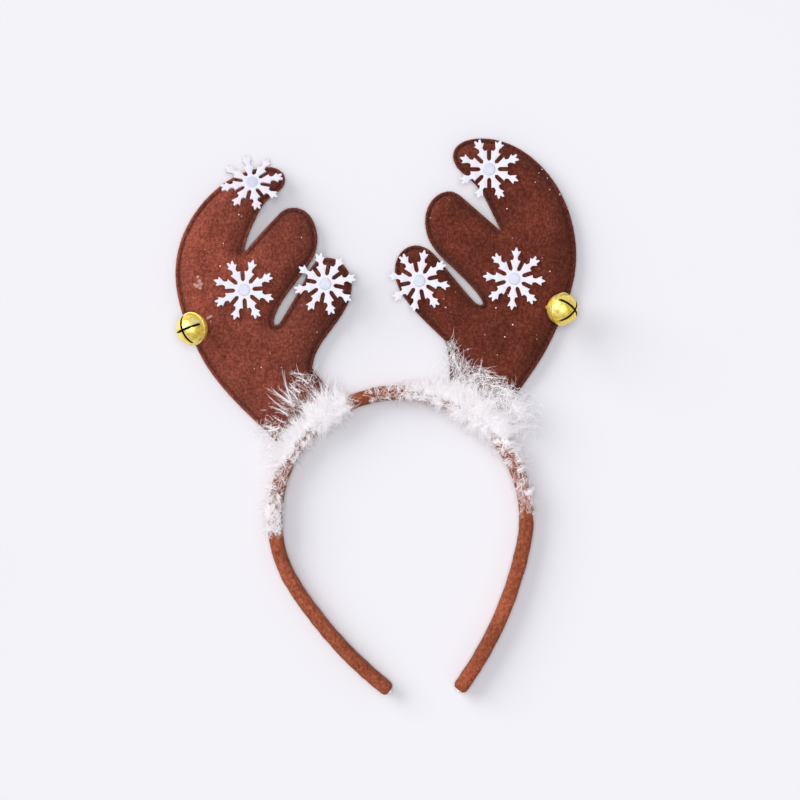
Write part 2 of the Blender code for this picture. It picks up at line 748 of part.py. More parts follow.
def add_stretch(shape, chance, start, end, locks, outwards, inwards, width, low_out, low_in):
    """The locks of one stretch. They fan out to both sides and to the front."""
    for index in range(locks):
        root, outward = on_crown(start + (end - start) * (index + 0.5) / locks)
        root.z = trim_height()
        tangent = outward.cross(Vector((0, 0, 1)))
        share = LOCK_FAN[index % len(LOCK_FAN)]
        degrees = low_out + (180.0 - low_out - low_in) * share
        turn = math.radians(degrees + chance.uniform(-LOCK_JITTER_DEG, LOCK_JITTER_DEG))
        reach = outwards if math.cos(turn) > 0 else inwards
        reach *= 1 - LOCK_FRONT_CUT * abs(math.sin(turn))
        length = reach * chance.uniform(*LOCK_LENGTHS)
        direction = outward * math.cos(turn) + Vector((0, 0, 1)) * math.sin(turn)
        direction = (direction + tangent * chance.uniform(-LOCK_SPLAY, LOCK_SPLAY)).normalized()
        bend = tangent * chance.uniform(-LOCK_TIP_BEND, LOCK_TIP_BEND)
        add_lock(shape, root, direction, bend, length, width * chance.uniform(*LOCK_WIDTHS))


def feather_trim(materials):
    """The strip of down: a cord with all its locks fused to it."""
    chance = random.Random(TRIM_SEED)
    down = materials["white_down"]
    cord = trim_cord(TRIM_STRETCHES[0][1], TRIM_STRETCHES[-1][2])
    made = mesh_object("feather_trim", cord, down)
    locks = bmesh.new()
    for _, *stretch in TRIM_STRETCHES:
        add_stretch(locks, chance, *stretch)
    fused = helper("feather_locks", locks, down)
    combine(made, fused, "UNION")
    made.modifiers[0].use_self = True


def build():
    clear_scene()
    materials = make_materials()
    band_cover(materials)
    hoop_core(materials)
    for side in ANTLERS:
        for face in ("front", "back"):
            antler_panel(side, face, materials)
    for row in FLAKES:
        snowflake(*row, materials)
    for row in BELLS:
        bell(*row, materials)
    feather_trim(materials)


build()
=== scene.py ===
"""The finish of a reindeer antler headband: felt, padding, down, snowflakes and bells.

The headband lies on its back. +Z is its front, +Y points up to the antlers.
Sizes are in millimetres. The meshes are scaled to metres as they are made.
"""

import math

import bmesh
import bpy
import numpy as np
from mathutils import Matrix, Vector, noise
from mathutils.bvhtree import BVHTree
from mathutils.geometry import delaunay_2d_cdt


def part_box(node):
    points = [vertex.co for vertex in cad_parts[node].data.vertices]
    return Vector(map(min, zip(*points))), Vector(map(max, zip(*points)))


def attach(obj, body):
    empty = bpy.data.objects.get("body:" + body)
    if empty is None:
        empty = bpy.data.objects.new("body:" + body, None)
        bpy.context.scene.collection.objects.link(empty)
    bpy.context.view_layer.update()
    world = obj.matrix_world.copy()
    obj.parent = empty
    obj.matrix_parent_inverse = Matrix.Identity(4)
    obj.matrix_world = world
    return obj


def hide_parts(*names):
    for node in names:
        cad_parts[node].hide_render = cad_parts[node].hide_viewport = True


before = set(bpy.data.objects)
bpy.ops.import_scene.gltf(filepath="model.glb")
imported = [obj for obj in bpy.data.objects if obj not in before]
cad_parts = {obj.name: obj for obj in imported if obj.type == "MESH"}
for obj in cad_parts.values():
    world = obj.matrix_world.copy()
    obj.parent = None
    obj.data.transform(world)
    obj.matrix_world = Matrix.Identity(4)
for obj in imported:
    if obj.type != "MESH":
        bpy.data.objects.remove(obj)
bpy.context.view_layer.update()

MM = 0.001
BODY = "root"
GAP = 0.3

# Camera: straight above, which is the photo's square view of the front
PHOTO_PIXELS = 800
PIXEL = 0.4924  # what a pixel of the photo covers at the seam plane
CAMERA_HEIGHT = 1200.0
VIEW_CENTRE = (-0.25, -3.94)
SENSOR = 36.0

# Hoop
HOOP_RADIUS = 62.2
BAND_DEPTH = 10.0
BAND_THICKNESS = 6.6
BAND_SQUARENESS = 3.4  # exponent of the section: 2 is an ellipse
BAND_WALL = 1.6
BAND_END_ROUNDING = 2.6
BAND_STEP = 1.5
BAND_SIDES = 36
CORE_THICKNESS = 2.0
CORE_DEPTH = 6.6
CORE_TIP = 1.3
LEGS = {
    # side: leaves the crown at degrees, radius, length
    -1: (122.5, 204.0, 70.0),
    1: (101.5, 182.0, 79.5),
}

# Antlers
SEAM_HEIGHT = BAND_DEPTH / 2
RIM_THICKNESS = 1.2
RIM_WIDTH = 1.8
EDGE_ROUNDING = 0.4
STITCH_HEIGHT = 0.5  # of the felt over the seam plane where the thread pulls it in
GROOVE_START = 0.95
GROOVE_FLOOR = (1.5, 2.05)  # depths between which the felt is pulled down to the thread
PAD_HEIGHT = 6.0
SHOULDER = 8.0
SWELL_ROOM = 0.12  # how far the felt may stand over its plain form, under the snowflakes
OUTLINE_STEP = 1.6
CORNER_DEG = 38.0
RING_DEPTHS = (0.3, 0.9, 1.2, 1.5, 2.05, 2.3, 2.8, 3.6)
FILL_STEP = 2.1
FILL_FROM = 4.6
WALL_ROWS = (
    # height over the seam plane, outwards
    (0.42, 0.06),
    (0.08, 0.0),
    (0.0, -0.35),
    (-0.08, 0.0),
    (-0.42, 0.06),
)


def unit(vectors):
    return vectors / np.linalg.norm(vectors, axis=-1, keepdims=True)


def full_turn(count):
    """Evenly spaced angles of a full turn."""
    return 2 * math.pi * np.arange(count) / count


def mesh_object(name, points, faces, scale=MM):
    mesh = bpy.data.meshes.new(name)
    mesh.from_pydata((np.asarray(points, float) * scale).tolist(), [], faces)
    made = bpy.data.objects.new(name, mesh)
    bpy.context.scene.collection.objects.link(made)
    return made


def new_piece(name, points, faces, material, replaces=()):
    """A piece of the headband from points in millimetres. It rides on the one body."""
    made = mesh_object(name, points, faces)
    made.data.materials.append(material)
    made.data.shade_smooth()
    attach(made, BODY)
    if replaces:
        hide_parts(*replaces)
    return made


# Node helpers for the materials


class Recipe:
    """A material's node tree, built from short calls."""

    def __init__(self, name):
        self.material = bpy.data.materials.new(name)
        self.material.use_nodes = True
        self.tree = self.material.node_tree
        self.shader = self.tree.nodes["Principled BSDF"]
        self.place = self.node("TexCoord").outputs["Object"]

    def node(self, kind, operation=None):
        node = self.tree.nodes.new("ShaderNode" + kind)
        if operation:
            node.operation = operation
        return node

    def set(self, **values):
        for name, value in values.items():
            self.shader.inputs[name.replace("_", " ")].default_value = value

    def link(self, source, target):
        self.tree.links.new(source, target)

    def feed(self, socket, value):
        """Links another socket to this one, or sets it to a colour or a plain value."""
        if isinstance(value, bpy.types.NodeSocket):
            self.link(value, socket)
        elif isinstance(value, tuple):
            socket.default_value = (*value, 1.0)
        else:
            socket.default_value = value

    def paint(self, colour):
        self.link(colour, self.shader.inputs["Base Color"])

    def stretched(self, scale, turn):
        """The place stretched, and turned about Z by degrees."""
        node = self.node("Mapping")
        node.inputs["Scale"].default_value = scale
        node.inputs["Rotation"].default_value = (0.0, 0.0, math.radians(turn))
        self.link(self.place, node.inputs["Vector"])
        return node.outputs["Vector"]

    def noise(self, size, detail=2.0, rough=0.5, distortion=0.0, place=None):
        """Noise whose blotches are about size millimetres across."""
        node = self.node("TexNoise")
        node.inputs["Scale"].default_value = 1.0 / (size * MM)
        node.inputs["Detail"].default_value = detail
        node.inputs["Roughness"].default_value = rough
        node.inputs["Distortion"].default_value = distortion
        self.link(place or self.place, node.inputs["Vector"])
        return node.outputs["Fac"]

    def ramp(self, source, *stops):
        """Stops are pairs of place and colour or grey."""
        node = self.node("ValToRGB")
        elements = node.color_ramp.elements
        while len(elements) < len(stops):
            elements.new(0.5)
        for element, (position, value) in zip(elements, stops):
            element.position = position
            element.color = (*value, 1.0) if isinstance(value, tuple) else (value, value, value, 1.0)
        self.link(source, node.inputs["Fac"])
        return node.outputs["Color"]

    def mix(self, share, first, second, blend="MIX"):
        """Sockets or plain values may be mixed."""
        node = self.node("Mix")
        node.data_type = "RGBA"
        node.blend_type = blend
        for number, value in ((0, share), (6, first), (7, second)):
            self.feed(node.inputs[number], value)
        return node.outputs[2]

    def maths(self, operation, first, second):
        node = self.node("Math", operation)
        self.feed(node.inputs[0], first)
        self.feed(node.inputs[1], second)
        return node.outputs[0]

    def near(self, x, y, radius):
        """One at a point of the front, falling to nothing at a radius in millimetres."""
        flat = self.node("VectorMath", "MULTIPLY")
        flat.inputs[1].default_value = (1.0, 1.0, 0.0)
        self.link(self.place, flat.inputs[0])
        node = self.node("VectorMath", "DISTANCE")
        node.inputs[1].default_value = (x * MM, y * MM, 0.0)
        self.link(flat.outputs[0], node.inputs[0])
        reach = self.maths("DIVIDE", node.outputs["Value"], radius * MM)
        return self.maths("SUBTRACT", 1.0, reach)

    def across(self, left, right):
        """Zero at the left place and one at the right one, in millimetres."""
        node = self.node("SeparateXYZ")
        self.link(self.place, node.inputs[0])
        ranged = self.node("MapRange")
        ranged.inputs["From Min"].default_value = left * MM
        ranged.inputs["From Max"].default_value = right * MM
        self.link(node.outputs["X"], ranged.inputs["Value"])
        return ranged.outputs["Result"]

    def point_value(self, name):
        """A value that the piece's points carry."""
        node = self.node("Attribute")
        node.attribute_name = name
        return node.outputs["Fac"]

    def bump(self, height, depth, strength=1.0):
        """Depth in millimetres."""
        node = self.node("Bump")
        node.inputs["Strength"].default_value = strength
        node.inputs["Distance"].default_value = depth * MM
        self.link(height, node.inputs["Height"])
        self.link(node.outputs["Normal"], self.shader.inputs["Normal"])


GLUE_SPOTS = (
    # x, y, radius
    (-99.4, 56.4, 1.6),
    (-98.6, 54.4, 1.9),
    (-97.9, 52.9, 2.0),
    (-99.6, 52.0, 2.2),
    (-101.0, 52.6, 1.5),
    (-98.2, 50.9, 1.7),
    (-94.5, 36.2, 1.3),
    (-93.6, 36.7, 1.4),
    (-92.7, 37.2, 1.2),
)
# the points' value by which the felt takes painted shade in its sewn groove
GROOVE_VALUE = "groove"
GROOVE_SHADE = 0.7
GROOVE_SHADE_COLOUR = (0.30, 0.27, 0.20)
# the width over which the painted light falloff runs, left to right
PAINTED_LIGHT_SPAN = (-110.0, -24.0)
GLUE_COLOUR = (0.62, 0.42, 0.38)
FIBRE_SIZE = 0.9
FIBRE_STRETCH = (1.0, 0.3, 0.6)
FIBRE_TURNS_DEG = (20.0, 80.0, 140.0)
GRAIN_SHARE = 0.62  # of the felt's tone, the rest comes from its fibres
SHEEN_TINT = (1.0, 0.72, 0.62)


def fibre_field(recipe):
    """Crossing streaks, as of matted fibres."""
    places = [recipe.stretched(FIBRE_STRETCH, turn) for turn in FIBRE_TURNS_DEG]
    layers = [recipe.noise(FIBRE_SIZE, 3.0, 0.6, 0.6, place) for place in places]
    both = recipe.maths("MAXIMUM", layers[0], layers[1])
    return recipe.maths("MAXIMUM", both, layers[2])


def felt_material(name, dark, middle, light, glue=(), painted_light_falloff=(1.0, 1.0)):
    """Matted felt: blotches, crossing fibres, painted shade in the sewn groove and pale glue marks.

    The painted light falloff is the tone at the left and the right end of the width that it covers: painted
    light towards the left and painted shade towards the right, as the light comes from the left.
    """
    recipe = Recipe(name)
    fibres = fibre_field(recipe)
    grain = recipe.noise(1.3, 4.0, 0.65)
    blotches = recipe.noise(17.0, 3.0, 0.55)
    grain_tone = recipe.maths("MULTIPLY", grain, GRAIN_SHARE)
    shade = recipe.maths("ADD", grain_tone, recipe.maths("MULTIPLY", fibres, 1 - GRAIN_SHARE))
    colour = recipe.ramp(shade, (0.36, dark), (0.5, middle), (0.66, light))
    patchy = recipe.ramp(blotches, (0.35, 0.82), (0.65, 1.16))
    colour = recipe.mix(1.0, colour, patchy, "MULTIPLY")
    # painted light and shade: the felt is lighter towards the left and darker towards the right
    across = recipe.ramp(recipe.across(*PAINTED_LIGHT_SPAN), (0.0, painted_light_falloff[0]), (1.0, painted_light_falloff[1]))
    colour = recipe.mix(1.0, colour, across, "MULTIPLY")
    # painted shade: the felt's colour darkens in the sewn groove, as far as the points' groove value says
    painted_groove_shade = recipe.maths("MULTIPLY", recipe.point_value(GROOVE_VALUE), GROOVE_SHADE)
    colour = recipe.mix(painted_groove_shade, colour, GROOVE_SHADE_COLOUR, "MULTIPLY")
    for x, y, radius in glue:
        spot = recipe.maths("MULTIPLY", recipe.near(x, y, radius), recipe.noise(0.7, 4.0, 0.75))
        spot = recipe.ramp(spot, (0.19, 0.0), (0.38, 0.66))
        colour = recipe.mix(spot, colour, GLUE_COLOUR)
    recipe.paint(colour)
    fuzz = recipe.maths("ADD", recipe.noise(0.5, 3.0, 0.7), fibres)
    recipe.bump(fuzz, 0.22, 0.8)
    recipe.set(Roughness=0.95, Sheen_Weight=0.12, Sheen_Roughness=0.45, Specular_IOR_Level=0.12)
    recipe.feed(recipe.shader.inputs["Sheen Tint"], SHEEN_TINT)
    return recipe.material


def thread_material(name, colour):
    recipe = Recipe(name)
    twist = recipe.noise(0.25, 2.0, 0.6)
    shades = recipe.ramp(twist, (0.3, tuple(0.6 * c for c in colour)), (0.7, colour))
    recipe.paint(shades)
    recipe.bump(twist, 0.05)
    recipe.set(Roughness=0.75, Sheen_Weight=0.2)
    return recipe.material


DOWN_PAINTED_GLOW = 0.135  # painted glow: the down gives off its own colour as light, standing for the light that down passes on through its many layers


def down_material():
    recipe = Recipe("down")
    tint = recipe.noise(6.0, 2.0, 0.5)
    colour = recipe.ramp(tint, (0.35, (0.965, 0.925, 0.945)), (0.65, (0.98, 0.965, 0.985)))
    recipe.paint(colour)
    recipe.bump(recipe.noise(0.15, 1.0), 0.01)
    recipe.set(Roughness=0.7, Sheen_Weight=0.3, Specular_IOR_Level=0.25, Emission_Strength=DOWN_PAINTED_GLOW)
    # painted glow: the down's colour is also given off as light
    recipe.link(colour, recipe.shader.inputs["Emission Color"])
    return recipe.material


def snowflake_material():
    """Pearl white, speckled with pink, cyan and lavender as a fine iridescent film is."""
    recipe = Recipe("snowflake_white")
    speckle = recipe.noise(0.55, 2.0, 0.6)
    sweep = recipe.noise(3.4, 2.0, 0.5, 1.0)
    hue = recipe.maths("ADD", recipe.maths("MULTIPLY", speckle, 0.5), recipe.maths("MULTIPLY", sweep, 0.5))
    colour = recipe.ramp(
        hue,
        (0.38, (0.58, 0.76, 0.80)),
        (0.45, (0.77, 0.77, 0.81)),
        (0.5, (0.68, 0.64, 0.80)),
        (0.55, (0.80, 0.76, 0.78)),
        (0.62, (0.84, 0.60, 0.70)),
    )
    recipe.paint(colour)
    recipe.bump(speckle, 0.06, 0.6)
    recipe.set(Roughness=0.5, Sheen_Weight=0.08, Coat_Weight=0.1, Coat_Roughness=0.35)
    return recipe.material


def pearl_material():
    """Pale blue with a soft lavender change."""
    recipe = Recipe("dot_pearl")
    sweep = recipe.noise(2.0, 2.0, 0.5, 0.8)
    colour = recipe.ramp(
        sweep, (0.35, (0.50, 0.57, 0.69)), (0.5, (0.57, 0.60, 0.71)), (0.65, (0.65, 0.60, 0.71))
    )
    recipe.paint(colour)
    recipe.bump(recipe.noise(0.5, 2.0), 0.03, 0.5)
    recipe.set(Roughness=0.45, Coat_Weight=0.12, Coat_Roughness=0.25)
    return recipe.material


GOLD_METAL = 0.62  # the rest stands for the dull lacquer over the plate


def gold_material():
    """Bright gold plate with shallow dents, fine scratches and duller smudges."""
    recipe = Recipe("bell_gold")
    smudge = recipe.noise(3.2, 3.0, 0.6)
    colour = recipe.ramp(smudge, (0.38, (1.0, 0.68, 0.05)), (0.62, (1.0, 0.86, 0.33)))
    recipe.paint(colour)
    dull = recipe.ramp(recipe.noise(1.6, 4.0, 0.7), (0.4, 0.26), (0.62, 0.52))
    recipe.link(dull, recipe.shader.inputs["Roughness"])
    scratches = recipe.noise(0.3, 2.0, 0.6, 0.0, recipe.stretched((1.0, 0.06, 0.06), 35.0))
    dents = recipe.maths("ADD", recipe.noise(4.5, 1.0), recipe.maths("MULTIPLY", scratches, 0.04))
    recipe.bump(dents, 0.5, 0.7)
    recipe.set(Metallic=GOLD_METAL)
    return recipe.material


def plain_material(name, low, high, size, roughness, metallic=0.0, depth=0.02):
    """A hard surface with a slight change of tone and a fine grain."""
    recipe = Recipe(name)
    tone = recipe.noise(size, 3.0, 0.6)
    recipe.paint(recipe.ramp(tone, (0.35, low), (0.65, high)))
    recipe.bump(recipe.noise(size / 8, 2.0), depth, 0.5)
    recipe.set(Roughness=roughness, Metallic=metallic)
    return recipe.material


def add_camera():
    data = bpy.data.cameras.new("camera")
    data.sensor_width = SENSOR
    data.lens = SENSOR * (CAMERA_HEIGHT - SEAM_HEIGHT) / (PHOTO_PIXELS * PIXEL)
    camera = bpy.data.objects.new("camera", data)
    camera.location = Vector((*VIEW_CENTRE, CAMERA_HEIGHT)) * MM
    bpy.context.scene.collection.objects.link(camera)
    bpy.context.scene.camera = camera


KEY_FROM = (-1.0, 0.62, 0.72)
KEY_STRENGTH = 2.05
KEY_SPREAD_DEG = 46.0
KEY_COLOUR = (1.0, 0.985, 0.965)
OVERHEAD_HEIGHT = 2200.0
OVERHEAD_SIZE = 1000.0
OVERHEAD_POWER = 25.0
OVERHEAD_COLOUR = (0.975, 0.98, 1.0)
WORLD_COLOUR = (0.94, 0.95, 1.0)
WORLD_STRENGTH = 0.36
FLOOR_SIZE = 3000.0
FLOOR_TONES = ((0.771, 0.764, 0.800), (0.785, 0.778, 0.814))


def add_light(name, kind, place, power, colour):
    data = bpy.data.lights.new(name, kind)
    data.energy = power
    data.color = colour
    light = bpy.data.objects.new(name, data)
    light.location = Vector(place) * MM
    light.rotation_euler = (-Vector(place)).to_track_quat("-Z", "Y").to_euler()
    bpy.context.scene.collection.objects.link(light)
    return data


def add_lights():
    """A wide soft light from the upper left, a softbox above and a pale room."""
    key = add_light("key", "SUN", Vector(KEY_FROM) * 1000, KEY_STRENGTH, KEY_COLOUR)
    key.angle = math.radians(KEY_SPREAD_DEG)
    overhead = add_light("overhead", "AREA", (0.0, 0.0, OVERHEAD_HEIGHT), OVERHEAD_POWER, OVERHEAD_COLOUR)
    overhead.shape = "DISK"
    overhead.size = OVERHEAD_SIZE * MM
    world = bpy.data.worlds.new("studio")
    world.use_nodes = True
    background = world.node_tree.nodes["Background"]
    background.inputs["Color"].default_value = (*WORLD_COLOUR, 1.0)
    background.inputs["Strength"].default_value = WORLD_STRENGTH
    bpy.context.scene.world = world
    bpy.context.scene.view_settings.view_transform = "Standard"


def add_floor():
    half = FLOOR_SIZE / 2
    corners = [(-half, -half, 0.0), (half, -half, 0.0), (half, half, 0.0), (-half, half, 0.0)]
    floor = mesh_object("floor", corners, [(0, 1, 2, 3)])
    recipe = Recipe("floor")
    tone = recipe.noise(300.0, 2.0)
    recipe.paint(recipe.ramp(tone, (0.3, FLOOR_TONES[0]), (0.7, FLOOR_TONES[1])))
    recipe.set(Roughness=0.9, Specular_IOR_Level=0.1)
    floor.data.materials.append(recipe.material)


# Shapes shared by several pieces


HOOP_CENTRE = np.array([0.0, -HOOP_RADIUS])


def direction(turn):
    return np.array([math.sin(turn), math.cos(turn)])


def hoop_at(distance):
    """A point of the band's middle line and which way is out there.

    The distance runs along the line from the crown, right positive.
    """
    side = 1 if distance >= 0 else -1
    leaves_at, leg_radius, _ = LEGS[side]
    bend = math.radians(leaves_at)
    outward = direction(side * min(abs(distance) / HOOP_RADIUS, bend))
    point = HOOP_CENTRE + outward * HOOP_RADIUS
    travelled = abs(distance) - HOOP_RADIUS * bend
    if travelled > 0:
        leg_centre = point - outward * leg_radius
        outward = direction(side * (bend + travelled / leg_radius))
        point = leg_centre + outward * leg_radius
    return point, outward


def hoop_end(side):
    leaves_at, _, length = LEGS[side]
    return side * (HOOP_RADIUS * math.radians(leaves_at) + length)


def hoop_ring(distance, offset, height):
    """A ring of points round the band's middle line, from their offsets outwards and heights."""
    point, outward = hoop_at(distance)
    return np.column_stack([point + outward * offset[:, None], height])


def squared_section(sides, power):
    """The angles of a ring with flattened sides, and its points across and up from -1 to 1."""
    turns = full_turn(sides)
    across = np.sign(np.cos(turns)) * np.abs(np.cos(turns)) ** power
    up = np.sign(np.sin(turns)) * np.abs(np.sin(turns)) ** power
    return turns, across, up


def joined_rings(count, sides, closed=False):
    """Quads between rings of points that follow each other."""
    quads = []
    for ring in range(count if closed else count - 1):
        after = (ring + 1) % count
        for side in range(sides):
            beside = (side + 1) % sides
            quads.append(
                (ring * sides + side, ring * sides + beside, after * sides + beside, after * sides + side)
            )
    return quads


def closed_rings(count, sides):
    """Quads between rings, with a cap at each end."""
    last = (count - 1) * sides
    caps = [tuple(range(sides))[::-1], tuple(range(last, last + sides))]
    return joined_rings(count, sides) + caps


def renumbered(faces, start, turned=False):
    """Faces whose points are numbered from another start. They may be turned over."""
    step = -1 if turned else 1
    return [tuple(index + start for index in face[::step]) for face in faces]


def turned_rings(profile, segments):
    """Rings of points about Z, from pairs of radius and height."""
    turns = full_turn(segments)
    rings = [
        np.column_stack([radius * np.cos(turns), radius * np.sin(turns), np.full(segments, height)])
        for radius, height in profile
    ]
    return np.vstack(rings)


def tubes(paths, radii, sides, chance):
    """Thin closed tubes that end in a point. Paths are count by points by 3, radii count by points."""
    count, steps, _ = paths.shape
    along = unit(np.gradient(paths, axis=1) + 1e-9)
    guide = chance.normal(size=(count, 1, 3))
    across = unit(guide - along * np.sum(guide * along, axis=2, keepdims=True))
    up = np.cross(along, across)
    turns = full_turn(sides)[:, None]
    offsets = across[:, :, None] * np.cos(turns) + up[:, :, None] * np.sin(turns)
    rings = paths[:, :, None] + offsets * radii[:, :, None, None]
    body = rings[:, :-1].reshape(count, -1, 3)
    points = np.concatenate([body, paths[:, -1:]], axis=1)
    each = points.shape[1]
    quads = np.array(joined_rings(steps - 1, sides))
    last = (steps - 2) * sides
    tips = np.array([(last + s, last + (s + 1) % sides, each - 1) for s in range(sides)])
    base = np.arange(sides)[::-1]
    starts = (np.arange(count) * each)[:, None]
    faces = []
    for face in (*quads, *tips, base):
        faces += (face[None, :] + starts).tolist()
    return points.reshape(-1, 3), faces


def wobble(points, size, amount, seed=0.0):
    """Smooth noise at each point, between about minus and plus amount."""
    shift = Vector((seed, seed * 1.7, seed * 0.3))
    return np.array([noise.noise(Vector(p) / size + shift) for p in points]) * amount


def depth_inside(points, outline):
    """Distance from the outline, positive inside and negative outside."""
    start, end = outline, np.roll(outline, -1, axis=0)
    along = end - start
    found = []
    for block in np.array_split(points, max(1, len(points) // 2000)):
        offset = block[:, None, :] - start[None, :, :]
        share = np.clip(np.sum(offset * along, axis=2) / np.sum(along**2, axis=1), 0, 1)
        nearest = np.linalg.norm(offset - share[..., None] * along, axis=2).min(axis=1)
        x, y = block[:, 0, None], block[:, 1, None]
        crosses = (start[:, 1] > y) != (end[:, 1] > y)
        slope = along[:, 0] / np.where(along[:, 1] == 0, 1.0, along[:, 1])
        hits = crosses & (x < start[:, 0] + (y - start[:, 1]) * slope)
        found.append(np.where(hits.sum(axis=1) % 2 == 1, nearest, -nearest))
    return np.concatenate(found)


def bisectors(outline):
    """The inward direction at each point, as long as a unit offset of both its sides needs."""
    before = unit(outline - np.roll(outline, 1, axis=0))
    after = unit(np.roll(outline, -1, axis=0) - outline)
    inward_before = np.stack([-before[:, 1], before[:, 0]], axis=1)
    inward_after = np.stack([-after[:, 1], after[:, 0]], axis=1)
    middle = unit(inward_before + inward_after)
    return middle / np.maximum(np.sum(middle * inward_before, axis=1), 0.6)[:, None]


def cad_outline(side):
    """The outline of a CAD antler panel in millimetres: the border of its flat seam face."""
    shape = bmesh.new()
    shape.from_mesh(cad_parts[f"antler_{side}_front"].data)
    bmesh.ops.remove_doubles(shape, verts=shape.verts, dist=1e-6)
    seam = min(vert.co.z for vert in shape.verts)
    flat = {face for face in shape.faces if max(v.co.z for v in face.verts) - seam < 1e-6}
    follows = {}
    for edge in shape.edges:
        if sum(face in flat for face in edge.link_faces) == 1:
            for vert in edge.verts:
                follows.setdefault(vert, []).append(edge.other_vert(vert))
    loop = [next(iter(follows))]
    previous = None
    while len(loop) < len(follows):
        after = next(vert for vert in follows[loop[-1]] if vert != previous)
        previous = loop[-1]
        loop.append(after)
    outline = np.array([vert.co.xy for vert in loop]) / MM
    shape.free()
    x, y = outline.T
    area = np.sum(x * np.roll(y, -1) - y * np.roll(x, -1)) / 2
    return outline if area > 0 else outline[::-1]


def smooth_outline(outline):
    """A closer outline through the same points, rounded between them but crisp at real corners."""
    before = outline - np.roll(outline, 1, axis=0)
    after = np.roll(outline, -1, axis=0) - outline
    before_length = np.linalg.norm(before, axis=1)[:, None]
    after_length = np.linalg.norm(after, axis=1)[:, None]
    arrive, leave = before / before_length, after / after_length
    smooth = (arrive * after_length + leave * before_length) / (before_length + after_length)
    turning = np.degrees(np.arccos(np.clip(np.sum(arrive * leave, axis=1), -1, 1)))
    corner = (turning > CORNER_DEG)[:, None]
    tangent_in = np.where(corner, arrive, smooth)
    tangent_out = np.where(corner, leave, smooth)
    points = []
    for index in range(len(outline)):
        after_index = (index + 1) % len(outline)
        length = after_length[index, 0]
        steps = max(1, round(length / OUTLINE_STEP))
        for t in np.arange(steps) / steps:
            points.append(
                outline[index] * (2 * t**3 - 3 * t**2 + 1)
                + tangent_out[index] * length * (t**3 - 2 * t**2 + t)
                + outline[after_index] * (3 * t**2 - 2 * t**3)
                + tangent_in[after_index] * length * (t**3 - t**2)
            )
    return np.array(points)


OUTLINES = {side: smooth_outline(cad_outline(side)) for side in ("left", "right")}


# Antlers


def plain_rise(depth):
    """Height of the CAD's pad over the seam plane."""
    climb = np.clip((depth - RIM_WIDTH) / SHOULDER, 0, 1)
    return RIM_THICKNESS + (PAD_HEIGHT - RIM_THICKNESS) * np.sqrt(1 - (1 - climb) ** 2)


def sewn_rise(depth):
    """Height of the felt over the seam plane: a rounded rim, the stitched groove and the pad."""
    edge = EDGE_ROUNDING * np.clip(1 - depth / EDGE_ROUNDING, 0, 1) ** 2
    dip = np.clip((depth - GROOVE_START) / (GROOVE_FLOOR[0] - GROOVE_START), 0, 1)
    rim = RIM_THICKNESS - edge - (RIM_THICKNESS - STITCH_HEIGHT) * dip**2
    climb = np.clip((depth - GROOVE_FLOOR[1]) / SHOULDER, 0, 1)
    pad = STITCH_HEIGHT + (PAD_HEIGHT - STITCH_HEIGHT) * np.sqrt(1 - (1 - climb) ** 2)
    return np.where(depth < GROOVE_FLOOR[1], rim, pad)


def fill_outline(outline):
    """Triangles inside the outline, fine along the rim. The outline's own points come first in order."""
    inward = bisectors(outline)
    points = [outline]
    edges = [(i, (i + 1) % len(outline)) for i in range(len(outline))]
    start = len(outline)
    for depth in RING_DEPTHS:
        ring = outline + inward * depth
        kept = np.abs(depth_inside(ring, outline) - depth) < 0.3 * depth + 0.05
        numbers = np.cumsum(kept) - 1 + start
        for index in range(len(ring)):
            after = (index + 1) % len(ring)
            if kept[index] and kept[after]:
                edges.append((int(numbers[index]), int(numbers[after])))
        points.append(ring[kept])
        start += int(kept.sum())
    low, high = outline.min(axis=0), outline.max(axis=0)
    rows = np.arange(low[1], high[1], FILL_STEP * math.sqrt(3) / 2)
    grid = np.array(
        [
            (x, y)
            for row, y in enumerate(rows)
            for x in np.arange(low[0] + FILL_STEP / 2 * (row % 2), high[0], FILL_STEP)
        ]
    )
    points.append(grid[depth_inside(grid, outline) > FILL_FROM])
    corners = [Vector(point) for point in np.vstack(points)]
    border = [list(range(len(outline)))]
    flat, _, faces, origins, *_ = delaunay_2d_cdt(corners, edges, border, 1, 1e-4)
    where = {source: index for index, sources in enumerate(origins) for source in sources}
    loop = [where[index] for index in range(len(outline))]
    return np.array([tuple(point) for point in flat]), [tuple(face) for face in faces], loop


CLOTH_SCALE = 10 * MM  # ten times the size
CLOTH_FRAMES = 20
CLOTH_PRESSURE = 4.0


def inflate(points, faces, pinned):
    """The skin after cloth pressure has swollen its free part."""
    skin = mesh_object("inflating", points, faces, CLOTH_SCALE)
    group = skin.vertex_groups.new(name="pinned")
    group.add([int(index) for index in np.flatnonzero(pinned)], 1.0, "REPLACE")
    cloth = skin.modifiers.new("cloth", "CLOTH")
    settings = cloth.settings
    settings.quality = 6
    settings.mass = 0.05
    settings.tension_stiffness = 8.0
    settings.compression_stiffness = 8.0
    settings.bending_stiffness = 0.8
    settings.use_pressure = True
    settings.uniform_pressure_force = CLOTH_PRESSURE
    settings.vertex_group_mass = "pinned"
    settings.effector_weights.gravity = 0.0
    cloth.collision_settings.use_collision = False
    cloth.point_cache.frame_start = 1
    cloth.point_cache.frame_end = CLOTH_FRAMES
    scene = bpy.context.scene
    for number in range(1, CLOTH_FRAMES + 1):
        scene.frame_set(number)
    result = skin.evaluated_get(bpy.context.evaluated_depsgraph_get()).to_mesh()
    swollen = np.zeros(len(points) * 3)
    result.vertices.foreach_get("co", swollen)
    scene.frame_set(1)
    bpy.data.objects.remove(skin)
    return swollen.reshape(-1, 3) / CLOTH_SCALE


